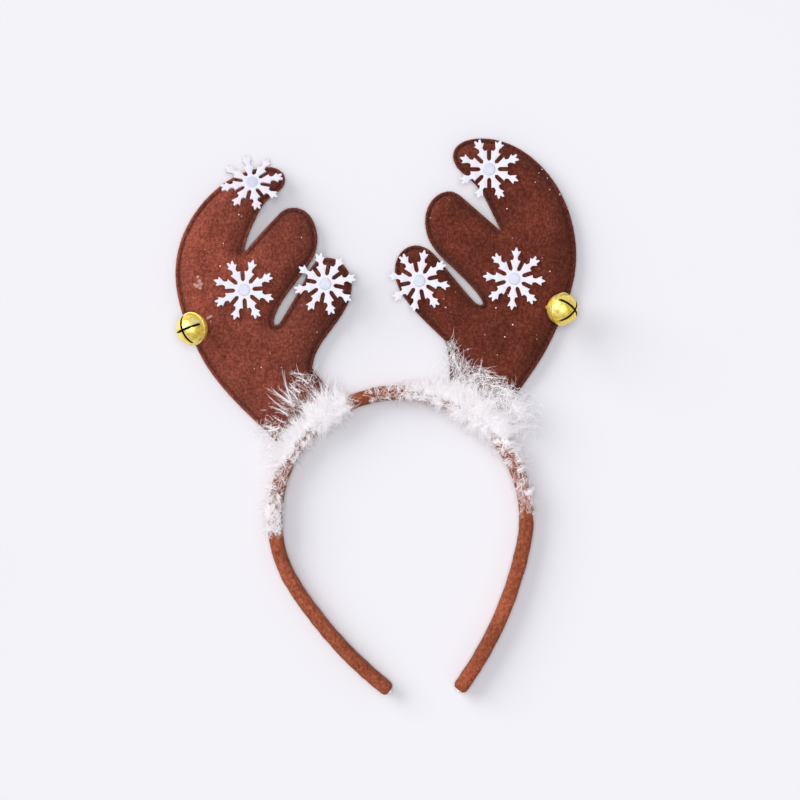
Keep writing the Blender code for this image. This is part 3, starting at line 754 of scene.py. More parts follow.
GROOVE_SHADE_WIDTH = 0.45  # how far from the groove's middle its shade fades
SWELL_CAP = 2.5  # how far the cloth may move from the plain form
SOFT_NOISE = ((13.0, 0.5), (4.0, 0.16))  # size and depth of the padding's unevenness
SOFT_FROM = 3.0  # how far from the groove the unevenness is at its full depth
LOWEST = 0.02  # of any point over the floor
START_SHARE = 0.88  # of its full height, from which the pad swells


def antler_pad(side, material):
    """Two felt faces sewn together round a flat rim, with padding between them."""
    outline = OUTLINES[side]
    flat, triangles, loop = fill_outline(outline)
    count, rim_count = len(flat), len(loop)
    depth = np.maximum(depth_inside(flat, outline), 0)
    rise = sewn_rise(depth)
    free = depth > GROOVE_FLOOR[1]
    low_rise = np.where(free, STITCH_HEIGHT + (rise - STITCH_HEIGHT) * START_SHARE, rise)
    front = np.column_stack([flat, SEAM_HEIGHT + low_rise])
    back = np.column_stack([flat, SEAM_HEIGHT - low_rise])
    outward = -unit(bisectors(outline))
    walls = [
        np.column_stack([flat[loop] + outward * out, np.full(rim_count, SEAM_HEIGHT + height)])
        for height, out in WALL_ROWS
    ]
    points = np.vstack([front, back, *walls])
    faces = triangles + renumbered(triangles, count, turned=True)
    rows = [loop]
    rows += [[2 * count + row * rim_count + i for i in range(rim_count)] for row in range(len(WALL_ROWS))]
    rows.append([index + count for index in loop])
    for upper, lower in zip(rows[:-1], rows[1:]):
        for i in range(rim_count):
            j = (i + 1) % rim_count
            faces.append((upper[i], lower[i], lower[j], upper[j]))
    all_depth = np.concatenate([depth, depth, np.zeros(len(points) - 2 * count)])
    swollen = inflate(points, faces, all_depth <= GROOVE_FLOOR[1] + 0.1)
    moved = swollen - points
    length = np.linalg.norm(moved, axis=1, keepdims=True)
    points = points + moved * np.minimum(1.0, SWELL_CAP / np.maximum(length, 1e-9))
    free = np.clip((all_depth - GROOVE_FLOOR[1]) / SOFT_FROM, 0, 1)
    facing = np.where(np.arange(len(points)) < count, 1.0, -1.0)
    for number, (size, amount) in enumerate(SOFT_NOISE):
        points[:, 2] += facing * free * wobble(points, size, amount, 3.0 * number + len(side))
    limit = plain_rise(all_depth) + SWELL_ROOM
    inner = all_depth > GROOVE_FLOOR[1]
    over = facing * (points[:, 2] - SEAM_HEIGHT)
    points[:, 2] = np.where(inner, SEAM_HEIGHT + facing * np.minimum(over, limit), points[:, 2])
    points[:, 2] = np.maximum(points[:, 2], LOWEST)
    pad = new_piece(
        f"antler_{side}_pad",
        points,
        faces,
        material,
        (f"antler_{side}_front", f"antler_{side}_back"),
    )
    # how much painted shade the felt takes in the groove, strongest at the middle of its floor
    groove = np.exp(-(((all_depth - sum(GROOVE_FLOOR) / 2) / GROOVE_SHADE_WIDTH) ** 2))
    pad.data.attributes.new(GROOVE_VALUE, "FLOAT", "POINT").data.foreach_set("value", groove)
    return pad


STITCH_LINE = 1.8
STITCH_LENGTH = 2.1
STITCH_SPACE = 0.7
STITCH_SHAPE = (
    # share of the length, height over the groove, radius of the thread
    (0.0, -0.25, 0.10),
    (0.12, 0.05, 0.17),
    (0.5, 0.16, 0.20),
    (0.88, 0.05, 0.17),
    (1.0, -0.25, 0.10),
)
STITCH_SEED = 5


def stitching(side, material):
    """Thread stitches in the groove round the antler, on both faces."""
    outline = OUTLINES[side]
    ring = outline + bisectors(outline) * STITCH_LINE
    ring = ring[np.abs(depth_inside(ring, outline) - STITCH_LINE) < 0.25]
    hoop_distance = np.linalg.norm(ring - HOOP_CENTRE, axis=1)
    ring = ring[hoop_distance > HOOP_RADIUS + BAND_THICKNESS / 2 + 4.0]
    steps = np.linalg.norm(np.diff(ring, axis=0), axis=1)
    travelled = np.concatenate([[0.0], np.cumsum(steps)])
    share, lift, thickness = np.array(STITCH_SHAPE).T
    paths = []
    for start in np.arange(0.0, travelled[-1] - STITCH_LENGTH, STITCH_LENGTH + STITCH_SPACE):
        places = start + STITCH_LENGTH * share
        x = np.interp(places, travelled, ring[:, 0])
        y = np.interp(places, travelled, ring[:, 1])
        if math.dist((x[0], y[0]), (x[-1], y[-1])) > 1.2 * STITCH_LENGTH:
            continue
        for facing in (1, -1):
            z = SEAM_HEIGHT + facing * (STITCH_HEIGHT + lift)
            paths.append(np.column_stack([x, y, z]))
    radii = np.tile(thickness, (len(paths), 1))
    chance = np.random.default_rng(STITCH_SEED)
    points, faces = tubes(np.array(paths), radii, 6, chance)
    return new_piece(f"antler_{side}_stitching", points, faces, material)


def surface_samples(piece, count, chance, lowest=0.6):
    """Random points on a piece's upper faces, with their normals."""
    mesh = piece.data
    mesh.calc_loop_triangles()
    corners = np.array([[mesh.vertices[v].co[:] for v in t.vertices] for t in mesh.loop_triangles]) / MM
    normals = np.cross(corners[:, 1] - corners[:, 0], corners[:, 2] - corners[:, 0])
    areas = np.linalg.norm(normals, axis=1) / 2
    normals /= np.maximum(2 * areas, 1e-12)[:, None]
    upper = (corners[:, :, 2].mean(axis=1) > lowest) & (normals[:, 2] > -0.4)
    weights = areas * upper
    chosen = chance.choice(len(corners), count, p=weights / weights.sum())
    shares = chance.dirichlet((1.0, 1.0, 1.0), count)
    return np.sum(corners[chosen] * shares[:, :, None], axis=1), normals[chosen]


NAP_ROOT = 0.06  # how deep a fibre starts in the felt
NAP_BEND = 0.55  # share of its length at which it bends
NAP_RADII = (0.035, 0.028, 0.01)
ANTLER_NAP = (9000, (0.5, 1.5), (0.1, 0.6))  # count, lengths, how far they rise
BAND_NAP = (5000, (0.4, 1.2), (0.2, 0.8))
ANTLER_NAP_SEED = 50
BAND_NAP_SEED = 60


def nap(name, skin, count, lengths, stand, material, slot, seed):
    """Short loose fibres on a felt skin. Stand is how far they rise from it."""
    chance = np.random.default_rng(seed)
    roots, normals = surface_samples(skin, count, chance)
    aside = chance.normal(size=(count, 3))
    aside = unit(aside - normals * np.sum(aside * normals, axis=1, keepdims=True))
    rise = chance.uniform(*stand, size=(count, 1))
    heading = unit(aside + normals * rise)
    length = chance.uniform(*lengths, size=(count, 1))
    curl = unit(np.cross(heading, normals)) * chance.uniform(-0.35, 0.35, size=(count, 1))
    start = roots - normals * NAP_ROOT
    middle = start + heading * length * NAP_BEND
    tip = middle + unit(heading + curl - normals * rise * 0.6) * length * (1 - NAP_BEND)
    paths = np.stack([start, middle, tip], axis=1)
    paths[:, :, 2] = np.maximum(paths[:, :, 2], 0.05)
    radii = np.tile(NAP_RADII, (count, 1))
    points, faces = tubes(paths, radii, 3, chance)
    return new_piece(name, points, faces, material)


# Band


BAND_END_TURNS = (0, 18, 36, 54, 72, 84)  # degrees of the rounding at which a ring lies
BAND_LAP_DEG = (150, 190)
BAND_LAP = 0.45
BAND_HOLE_DEPTHS = (0.3, 2.0, 6.0)


def band_sleeve(material):
    """The felt sleeve, rounded at both ends, with a lapped seam on its inner side."""
    first, last = hoop_end(-1), hoop_end(1)
    bulk = np.arange(first + BAND_END_ROUNDING, last - BAND_END_ROUNDING, BAND_STEP)
    turn_in = BAND_END_ROUNDING * (1 - np.cos(np.radians(BAND_END_TURNS)))
    distances = np.concatenate([first + turn_in, bulk[1:], (last - turn_in)[::-1]])
    turns, across, up = squared_section(BAND_SIDES, 2 / BAND_SQUARENESS)
    lap_from, lap_to = np.radians(BAND_LAP_DEG)
    lap = np.where((turns > lap_from) & (turns < lap_to), BAND_LAP, 0.0)
    rings = []
    for distance in distances:
        left = min(distance - first, last - distance)
        close = 1 - min(left / BAND_END_ROUNDING, 1.0)
        inset_by = BAND_WALL * (1 - math.sqrt(max(0.0, 1 - close**2)))
        offset = across * (BAND_THICKNESS / 2 - inset_by) - lap
        rings.append(hoop_ring(distance, offset, SEAM_HEIGHT + up * (BAND_DEPTH / 2 - inset_by)))
    offset = across * (CORE_THICKNESS / 2 + GAP)
    height = SEAM_HEIGHT + up * (CORE_DEPTH / 2 + GAP)
    left_hole = [hoop_ring(first + into, offset, height) for into in BAND_HOLE_DEPTHS]
    right_hole = [hoop_ring(last - into, offset, height) for into in BAND_HOLE_DEPTHS]
    ordered = left_hole[::-1] + rings + right_hole
    points = np.vstack(ordered)
    middle = slice(3 * BAND_SIDES, -3 * BAND_SIDES)
    outward = np.repeat([hoop_at(distance)[1] for distance in distances], BAND_SIDES, axis=0)
    sign = np.tile(across, len(distances))[:, None]
    points[middle, :2] += outward * sign * wobble(points[middle], 5.0, 0.28)[:, None]
    points[middle, 2] += np.tile(np.maximum(up, 0), len(distances)) * wobble(points[middle], 6.0, 0.3, 4.0)
    points[:, 2] = np.maximum(points[:, 2], LOWEST)
    faces = closed_rings(len(ordered), BAND_SIDES)
    return new_piece("band_felt_sleeve", points, faces, material, ("band_cover",))


CORE_SIDES = 20
CORE_POWER = 0.45  # how flat the section's sides are: 1 is a circle, 0 a square
CORE_ENDS = (
    # distance from the tip, share of the full section
    (0.0, 0.45),
    (0.15, 0.72),
    (0.4, 0.92),
    (0.9, 1.0),
)


def core_strip(material):
    """The springy strip, with rounded edges and rounded tips."""
    first, last = hoop_end(-1) - CORE_TIP, hoop_end(1) + CORE_TIP
    ends, closing = np.array(CORE_ENDS).T
    bulk = np.arange(first + 2.5, last - 2.0, 3.0)
    distances = np.concatenate([first + ends, bulk, (last - ends)[::-1]])
    shrink = np.concatenate([closing, np.ones(len(bulk)), closing[::-1]])
    _, across, up = squared_section(CORE_SIDES, CORE_POWER)
    rings = []
    for distance, scale in zip(distances, shrink):
        edge = CORE_DEPTH / 2 - CORE_THICKNESS / 2 * (1 - scale)
        rings.append(hoop_ring(distance, across * CORE_THICKNESS / 2 * scale, SEAM_HEIGHT + up * edge))
    points, faces = np.vstack(rings), closed_rings(len(rings), CORE_SIDES)
    return new_piece("hoop_core_strip", points, faces, material, ("hoop_core",))


# Snowflakes


FLAKE_THICKNESS = 1.2
FLAKE_BEVEL = 0.1
FLAKE_NOTCH_RADIUS = 4.0
FLAKE_REACH = 15.6
FLAKE_ARMS = {
    # two kinds of arm take turns: distance from the centre, half width
    "pointed": ((4.9, 1.0), (5.7, 1.25), (7.2, 1.8), (8.9, 2.5), (9.1, 1.3), (10.0, 0.95), (10.8, 0.95),
                (12.0, 1.6), (13.7, 2.35), (13.4, 1.0), (15.3, 0.25)),
    "forked": ((4.9, 1.0), (5.7, 1.25), (7.2, 1.85), (8.9, 2.6), (9.1, 1.35), (10.0, 1.0), (10.8, 1.0),
               (11.7, 1.7), (12.8, 2.55), (13.0, 1.5), (15.2, 1.65), (15.1, 0.75), (13.9, 0.0)),
}
FLAKES = (
    # antler, place, turn in degrees, lean towards the top edge in degrees, lift of the arms' tips
    ("left", "top", 33.0, 24.0, 0.3),
    ("left", "middle", 18.0, 0.0, 0.5),
    ("left", "inner", 33.0, 0.0, 0.4),
    ("right", "top", 22.0, 0.0, 0.6),
    ("right", "middle", 4.5, 0.0, 0.4),
    ("right", "inner", 10.0, 0.0, 0.5),
)
CAD_FLAKE_THICKNESS = 1.0
DOT_RADIUS = 3.0
DOT_THICKNESS = 0.6
DOT_SEGMENTS = 32
DOT_ROWS = (
    # share of the radius, height
    (0.98, 0.0),
    (1.0, 0.05),
    (0.97, 0.12),
    (0.88, 0.18),
    (0.5, 0.23),
    (0.02, 0.25),
)


def flake_outline():
    points = []
    sector = math.pi / 4
    for arm in range(8):
        middle = arm * sector
        notch = middle - sector / 2
        points.append((FLAKE_NOTCH_RADIUS * math.cos(notch), FLAKE_NOTCH_RADIUS * math.sin(notch)))
        half = FLAKE_ARMS["forked" if arm % 2 else "pointed"]
        falling = [(far, wide) for far, wide in reversed(half) if wide > 0]
        for far, wide in [(far, -wide) for far, wide in half] + falling:
            x = far * math.cos(middle) - wide * math.sin(middle)
            y = far * math.sin(middle) + wide * math.cos(middle)
            points.append((x, y))
    return np.array(points)


def box_centre(node):
    low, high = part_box(node)
    return np.array((low + high) / 2) / MM


def flake_place(side, place, turn, lean):
    """The snowflake's own axes: its centre's underside is where the CAD's dot says."""
    tilt = Matrix.Rotation(math.radians(-lean), 3, "X")
    axes = np.array(tilt @ Matrix.Rotation(math.radians(90.0 - turn), 3, "Z"))
    dot_middle = CAD_FLAKE_THICKNESS + GAP + DOT_THICKNESS / 2
    centre = box_centre(f"snowflake_dot_{side}_{place}") - axes[:, 2] * dot_middle
    return axes, centre


def baked(piece):
    """Applies a piece's modifiers to its mesh."""
    graph = bpy.context.evaluated_depsgraph_get()
    mesh = bpy.data.meshes.new_from_object(piece.evaluated_get(graph))
    piece.modifiers.clear()
    old = piece.data
    piece.data = mesh
    bpy.data.meshes.remove(old)
    mesh.name = piece.name
    return piece


def smoothed(piece, crisp):
    """Smooth shading that keeps edges over an angle in degrees crisp."""
    piece.data.shade_smooth()
    piece.data.set_sharp_from_angle(angle=math.radians(crisp))


def snowflake(side, place, turn, lean, lift, white, pearl):
    axes, centre = flake_place(side, place, turn, lean)
    outline = flake_outline()
    count = len(outline)
    ring = np.array([(0.8 * math.cos(a), 0.8 * math.sin(a)) for a in np.arange(8) * math.pi / 4])
    inner = np.vstack([ring * 1.6, ring * 3.2])
    flat, _, faces, *_ = delaunay_2d_cdt(
        [Vector(p) for p in np.vstack([outline, inner])],
        [(i, (i + 1) % count) for i in range(count)],
        [list(range(count))],
        1,
        1e-4,
    )
    flat = np.array([tuple(p) for p in flat])
    total = len(flat)
    bow = lift * (np.linalg.norm(flat, axis=1) / FLAKE_REACH) ** 2
    local = np.vstack([np.column_stack([flat, bow + FLAKE_THICKNESS]), np.column_stack([flat, bow])])
    solid = renumbered(faces, 0) + renumbered(faces, total, turned=True)
    solid += [(i, i + total, (i + 1) % count + total, (i + 1) % count) for i in range(count)]
    flake = new_piece(
        f"flake_{side}_{place}",
        local @ axes.T + centre,
        solid,
        white,
        (f"snowflake_{side}_{place}",),
    )
    bevel = flake.modifiers.new("bevel", "BEVEL")
    bevel.width = FLAKE_BEVEL * MM
    bevel.segments = 2
    bevel.limit_method = "ANGLE"
    bevel.angle_limit = math.radians(60)
    baked(flake)
    smoothed(flake, 35)
    low = FLAKE_THICKNESS + 0.05
    rows = [(share * DOT_RADIUS, low + rise) for share, rise in DOT_ROWS]
    new_piece(
        f"flake_dot_{side}_{place}",
        turned_rings(rows, DOT_SEGMENTS) @ axes.T + centre,
        closed_rings(len(rows), DOT_SEGMENTS),
        pearl,
        (f"snowflake_dot_{side}_{place}",),
    )


# Bells


BELL_RADIUS = 7.7
BELL_WALL = 0.7
BELL_SEGMENTS = 72
BELL_HOLLOW_SEGMENTS = 48
BELL_SLOT_WIDTH = 1.2
BELL_SLOT_END_RADIUS = 1.0
BELL_SLOT_FLOOR = 1.75
BELL_REACH = 9.5
BELL_LOOP_RADIUS = 1.3
BELL_LOOP_WIRE = 0.45
BELL_LOOP_RINGS = 28
BELL_WIRE_SIDES = 10
BELL_POLE_RADIUS = 0.25
BELL_THREAD_RADIUS = 0.16
BELL_THREAD_SEED = 11
PELLET_RADIUS = 2.2
PELLET_SEGMENTS = 24
BELL_SEAM = ((7.78, 0.5), (8.05, 0.42), (8.2, 0.2), (8.2, -0.2), (8.05, -0.42), (7.78, -0.5))
BELLS = (
    # antler, direction of the slots' crossing, a direction along one slot
    ("left", (-0.54, -0.12, 0.83), (0.69, 0.31, 0.66)),
    ("right", (0.74, -0.08, 0.67), (-0.49, 0.63, 0.60)),
)


def lathe(profile, segments):
    """A closed turned solid about Z. The profile starts and ends near the axis."""
    return turned_rings(profile, segments), renumbered(closed_rings(len(profile), segments), 0, turned=True)


def ball_profile(radius, step, seam=()):
    """Half a ball's outline from pole to pole, with a seam's rows at the middle."""
    angles = np.radians(np.arange(2, 84, step))
    half = [(max(radius * math.sin(a), BELL_POLE_RADIUS), radius * math.cos(a)) for a in angles]
    return half + list(seam) + [(r, -z) for r, z in reversed(half)]


def box_points(low, high):
    corners = [(x, y, z) for x in (low[0], high[0]) for y in (low[1], high[1]) for z in (low[2], high[2])]
    faces = [(0, 1, 3, 2), (4, 6, 7, 5), (0, 4, 5, 1), (2, 3, 7, 6), (0, 2, 6, 4), (1, 5, 7, 3)]
    return np.array(corners), faces


def bar_points(axis, radius, reach, height, sides=16):
    turns = full_turn(sides)
    a, b = radius * np.cos(turns), radius * np.sin(turns)
    rings = []
    for end in (-reach, reach):
        along = np.full(sides, end)
        rings.append(np.column_stack([along, a, b] if axis == "X" else [b, along, a]))
    points = np.vstack(rings) + np.array([0.0, 0.0, height])
    return points, renumbered(closed_rings(2, sides), 0, turned=True)


def bell(side, pole, slot, gold, inside, steel, thread):
    z = Vector(pole).normalized()
    x = Vector(slot) - z * z.dot(Vector(slot))
    x.normalize()
    axes = np.array(Matrix((x, z.cross(x), z)).transposed())
    drop = BELL_RADIUS - BELL_WALL - GAP - PELLET_RADIUS
    centre = box_centre(f"bell_pellet_{side}") + np.array([0.0, 0.0, drop])

    def placed(shape):
        points, faces = shape
        return points @ axes.T + centre, faces

    points, faces = placed(lathe(ball_profile(BELL_RADIUS, 4, BELL_SEAM), BELL_SEGMENTS))
    ball = new_piece(f"bell_{side}_shell", points, faces, gold, (f"bell_{side}",))
    reach, half = BELL_REACH, BELL_SLOT_WIDTH / 2
    shapes = [
        lathe(ball_profile(BELL_RADIUS - BELL_WALL, 6), BELL_HOLLOW_SEGMENTS),
        box_points((-reach, -half, BELL_SLOT_FLOOR), (reach, half, reach)),
        box_points((-half, -reach, BELL_SLOT_FLOOR), (half, reach, reach)),
        bar_points("X", BELL_SLOT_END_RADIUS, reach, BELL_SLOT_FLOOR),
        bar_points("Y", BELL_SLOT_END_RADIUS, reach, BELL_SLOT_FLOOR),
    ]
    cutters = []
    for number, shape in enumerate(shapes):
        cutter = mesh_object(f"bell_cutter_{number}", *placed(shape))
        modifier = ball.modifiers.new(cutter.name, "BOOLEAN")
        modifier.operation = "DIFFERENCE"
        modifier.solver = "EXACT"
        modifier.object = cutter
        cutters.append(cutter)
    baked(ball)
    for cutter in cutters:
        bpy.data.objects.remove(cutter)
    smoothed(ball, 32)
    ball.data.materials.append(inside)
    # the faces inside the ball take the second, near-black material
    deep = (BELL_RADIUS - 0.6 * BELL_WALL) * MM
    for face in ball.data.polygons:
        if (face.center - Vector(centre) * MM).length < deep:
            face.material_index = 1
    add_bell_loop(side, placed, gold)
    add_bell_thread(side, axes, centre, thread)
    points, faces = lathe(ball_profile(PELLET_RADIUS, 8), PELLET_SEGMENTS)
    new_piece(
        f"pellet_{side}",
        points + box_centre(f"bell_pellet_{side}"),
        faces,
        steel,
        (f"bell_pellet_{side}",),
    )


def add_bell_loop(side, placed, gold):
    """The wire loop behind the ball."""
    drop = BELL_RADIUS + BELL_LOOP_RADIUS - BELL_LOOP_WIRE / 2
    wire = full_turn(BELL_WIRE_SIDES)
    rings = []
    for angle in full_turn(BELL_LOOP_RINGS):
        out = np.array([math.cos(angle), 0.0, math.sin(angle)])
        ring = out * (BELL_LOOP_RADIUS + BELL_LOOP_WIRE * np.cos(wire))[:, None]
        ring[:, 1] += BELL_LOOP_WIRE * np.sin(wire)
        rings.append(ring)
    points = np.vstack(rings) - np.array([0.0, 0.0, drop])
    points, faces = placed((points, joined_rings(BELL_LOOP_RINGS, BELL_WIRE_SIDES, closed=True)))
    new_piece(f"bell_{side}_loop", points, faces, gold)


def add_bell_thread(side, axes, centre, material):
    """Three strands of thread that hold the loop to the felt."""
    chance = np.random.default_rng(BELL_THREAD_SEED)
    drop = BELL_RADIUS + BELL_LOOP_RADIUS * 1.6
    loop = centre - axes[:, 2] * drop
    paths = []
    for lean in (-0.5, 0.0, 0.5):
        foot = loop + np.array([1.6 * lean + 0.8, 1.2 * lean, 0.0])
        foot[2] = SEAM_HEIGHT + 1.0
        shares = np.linspace(0, 1, 7)[:, None]
        path = loop * (1 - shares) + foot * shares
        path[:, 2] += 0.5 * np.sin(math.pi * shares[:, 0])
        paths.append(path)
    radii = np.full((3, 7), BELL_THREAD_RADIUS)
    points, faces = tubes(np.array(paths), radii, 6, chance)
    new_piece(f"bell_{side}_thread", points, faces, material)


# Down


DOWN_PIECES = (
    # name, from degrees, to degrees, clockwise from the crown
    ("left_leg", -98.0, -66.0),
    ("left_base", -66.0, -22.0),
    ("crown", -22.0, 14.0),
    ("right_base", 14.0, 38.0),
    ("right_foot", 38.0, 60.0),
    ("right_leg", 60.0, 91.0),
)
DOWN_PROFILE = (
    # degrees, reach outwards, reach inwards, tufts a degree, barbs along the band a degree
    (-98.0, 2.0, 2.0, 0.3, 4.0),
    (-95.0, 4.0, 3.0, 1.0, 18.0),
    (-90.0, 6.0, 3.0, 1.4, 20.0),
    (-85.0, 7.0, 3.0, 1.2, 14.0),
    (-80.0, 8.0, 3.0, 0.8, 6.0),
    (-72.0, 9.0, 4.0, 0.8, 4.0),
    (-66.0, 10.0, 5.0, 1.2, 4.0),
    (-61.0, 13.0, 5.0, 3.5, 6.0),
    (-55.0, 13.5, 5.0, 5.5, 6.0),
    (-49.0, 13.0, 5.0, 5.5, 3.0),
    (-44.0, 14.0, 8.0, 5.5, 12.0),
    (-39.0, 16.0, 10.0, 6.0, 24.0),
    (-33.0, 20.0, 11.0, 6.5, 26.0),
    (-27.0, 14.0, 10.0, 5.0, 18.0),
    (-24.0, 8.0, 6.0, 1.5, 5.0),
    (-21.0, 5.0, 4.0, 0.15, 0.5),
    (-9.0, 5.0, 4.0, 0.15, 0.5),
    (-4.0, 5.0, 4.0, 0.5, 5.0),
    (0.0, 5.0, 4.0, 1.0, 12.0),
    (8.0, 6.0, 4.0, 1.4, 14.0),
    (13.0, 12.0, 6.0, 3.0, 14.0),
    (16.0, 21.0, 7.0, 4.5, 14.0),
    (20.0, 20.0, 6.0, 3.5, 6.0),
    (24.0, 16.0, 7.0, 4.0, 6.0),
    (30.0, 17.0, 12.0, 7.5, 28.0),
    (42.0, 18.0, 11.0, 8.5, 28.0),
    (46.0, 17.0, 8.0, 6.5, 10.0),
    (51.0, 14.0, 6.0, 3.0, 4.0),
    (57.0, 11.0, 6.0, 1.8, 5.0),
    (64.0, 9.0, 6.0, 0.6, 3.0),
    (76.0, 8.0, 5.0, 0.7, 7.0),
    (84.0, 5.0, 4.0, 0.4, 5.0),
    (88.0, 3.0, 3.0, 0.1, 1.5),
    (91.0, 2.0, 2.0, 0.0, 0.3),
)
DOWN_PATCHES = (
    # loose mats on the felt: degrees, radius, heading from outwards, barbs, then the spread of the
    # degrees, of the radius and of the heading, and the length
    (-43.0, 79.5, -28.0, 45, 3.2, 2.6, 22.0, 7.0),
    (-55.5, 79.0, -75.0, 45, 2.2, 2.2, 40.0, 6.0),
    (-36.0, 83.0, 10.0, 60, 3.6, 2.6, 50.0, 6.0),
    (-58.0, 73.0, -60.0, 110, 3.0, 3.6, 60.0, 7.0),
    (16.5, 86.5, -15.0, 60, 1.5, 3.0, 40.0, 5.0),
    (20.0, 80.5, -10.0, 80, 2.6, 3.0, 30.0, 7.0),
    (32.0, 81.5, 80.0, 90, 6.0, 2.0, 22.0, 7.5),
    (31.0, 76.0, 20.0, 260, 6.0, 3.0, 50.0, 6.0),
    (41.5, 80.0, 50.0, 260, 3.6, 3.2, 45.0, 6.0),
    (47.5, 78.0, 60.0, 330, 4.2, 4.0, 60.0, 6.5),
)
BARBS_IN_TUFT = 16
BARB_POINTS = 6
BARBULE_SHARE = 0.8  # short side barbs for each barb
BARB_RADIUS = (0.05, 0.12)
BARBULE_RADIUS = 0.045
LOCK_SPREAD = 0.22  # how far the barbs of a tuft part at its middle
LONG_SHARE = 0.08  # of the tufts that reach further than the rest
LONG_REACH = 1.4
CLINGING_LENGTH = (2.5, 6.5)
DOWN_CEILING = 21.5
DOWN_CLEARANCE = 0.35  # over the band and the antlers
DOWN_SEED = 20
BARBS_IN_LOCK = 7
LOCK_WIDTH = 0.55
LOCKS = (
    # locks that stand out: degrees and radius of the root, degrees and radius of the tip, bow
    (-43.7, 75.5, -46.1, 93.2, 0.8),
    (-42.7, 76.0, -44.5, 92.3, -0.7),
    (-43.4, 77.5, -43.0, 88.8, 0.9),
    (-42.5, 79.0, -37.7, 96.0, -0.6),
    (-41.0, 77.0, -41.2, 87.5, 0.5),
    (-38.2, 79.0, -39.0, 87.2, -0.8),
    (-34.5, 80.0, -36.4, 88.0, 0.7),
    (-33.8, 85.0, -37.5, 90.2, 0.5),
    (-46.0, 76.0, -46.9, 91.0, -0.6),
    (-47.5, 74.5, -49.6, 86.5, 0.8),
    (-50.0, 73.0, -51.0, 81.5, -0.5),
    (-54.5, 74.0, -55.9, 83.4, 0.6),
    (-53.0, 74.0, -57.0, 80.0, -0.8),
    (28.0, 80.0, 26.5, 90.0, 0.8),
    (31.0, 81.0, 37.0, 87.0, 0.7),
    (34.0, 79.0, 42.5, 84.5, -0.6),
    (19.0, 79.0, 15.5, 89.0, 1.0),
    (22.0, 78.0, 17.5, 88.0, -1.2),
)


def in_profile(column, degrees):
    angles = [row[0] for row in DOWN_PROFILE]
    return np.interp(degrees, angles, [row[column] for row in DOWN_PROFILE])


def lowest_free(points):
    """The height over which down may lie at each point: floor, band or antler."""
    flat = points[:, :2]
    lowest = np.full(len(points), 0.4)
    ring = np.abs(np.linalg.norm(flat - HOOP_CENTRE, axis=1) - HOOP_RADIUS)
    on_band = np.clip((BAND_THICKNESS / 2 + 0.6 - ring) / 0.6, 0, 1)
    lowest = np.maximum(lowest, on_band * (BAND_DEPTH + DOWN_CLEARANCE))
    for outline in OUTLINES.values():
        depth = depth_inside(flat, outline)
        over = SEAM_HEIGHT + plain_rise(np.maximum(depth, 0)) + DOWN_CLEARANCE
        lowest = np.where(depth > -0.4, np.maximum(lowest, over), lowest)
    return lowest


def lifted(paths):
    """The paths held clear of what lies under them."""
    flat = paths.reshape(-1, 3).copy()
    flat[:, 2] = np.clip(np.maximum(flat[:, 2], lowest_free(flat)), None, DOWN_CEILING)
    return flat.reshape(paths.shape)


def random_degrees(chance, column, start, end):
    """Places along the trim, as dense as a column of the profile says."""
    grid = np.linspace(start, end, 200)
    density = in_profile(column, grid)
    total = density.mean() * (end - start)
    share = np.cumsum(density)
    return np.interp(chance.random(round(total)), share / share[-1], grid)


def polar(turn, radius, height):
    """Points from their turn in radians round the hoop's centre, their radius and their height."""
    flat = HOOP_CENTRE + np.stack([np.sin(turn), np.cos(turn)], axis=-1) * radius[..., None]
    return np.concatenate([flat, height[..., None]], axis=-1)


def tuft_paths(chance, start, end):
    """Curved barbs in tufts, which spread from the band over the antlers and the floor."""
    degrees = random_degrees(chance, 3, start, end)
    tufts = len(degrees)
    turn = np.radians(degrees)
    out = np.column_stack([np.sin(turn), np.cos(turn), np.zeros(tufts)])
    along = np.column_stack([np.cos(turn), -np.sin(turn), np.zeros(tufts)])
    outward, inward = in_profile(1, degrees), in_profile(2, degrees)
    goes_out = chance.random(tufts) < 0.25 + 0.75 * outward / (outward + inward)
    sign = np.where(goes_out, 1.0, -1.0)
    reach = np.where(goes_out, outward, inward) * np.sqrt(chance.uniform(0.12, 1.0, tufts))
    reach *= np.where(chance.random(tufts) < LONG_SHARE, LONG_REACH, 1.0)
    seat = sign * chance.uniform(0.0, 3.2, tufts)
    height = BAND_DEPTH + chance.uniform(-2.0, 1.2, tufts) - 0.6 * np.abs(seat)
    root = polar(turn, HOOP_RADIUS + seat, height)
    swing = chance.normal(0, 0.75, tufts)
    rise = np.array([0.0, 0.0, 1.0]) * chance.uniform(-0.1, 0.75, tufts)[:, None]
    heading = unit(out * sign[:, None] + along * swing[:, None] + rise)
    swing_on = swing + chance.normal(0, 0.5, tufts)
    later = unit(out * sign[:, None] + along * swing_on[:, None] - rise * 0.8)
    count = tufts * BARBS_IN_TUFT

    def each(values):
        return np.repeat(values, BARBS_IN_TUFT, axis=0)

    length = each(reach)[:, None] * chance.uniform(0.35, 1.05, (count, 1))
    first = each(root) + chance.normal(0, 0.8, (count, 3))
    spread = chance.normal(0, LOCK_SPREAD, (count, 3)) * np.array([1.0, 1.0, 0.6])
    second = first + (each(heading) + spread) * length * 0.5
    third = second + (each(later) - spread * chance.uniform(0.2, 1.0, (count, 1))) * length * 0.5
    share = np.linspace(0, 1, BARB_POINTS)[None, :, None]
    paths = (
        first[:, None] * (1 - share) ** 2
        + second[:, None] * (2 * share * (1 - share))
        + third[:, None] * share**2
    )
    curl = chance.normal(0, 0.07, (count, 1, 3)) * length[:, None]
    return paths + curl * np.sin(share * 2 * math.pi + chance.uniform(0, 6, (count, 1, 1))) * share


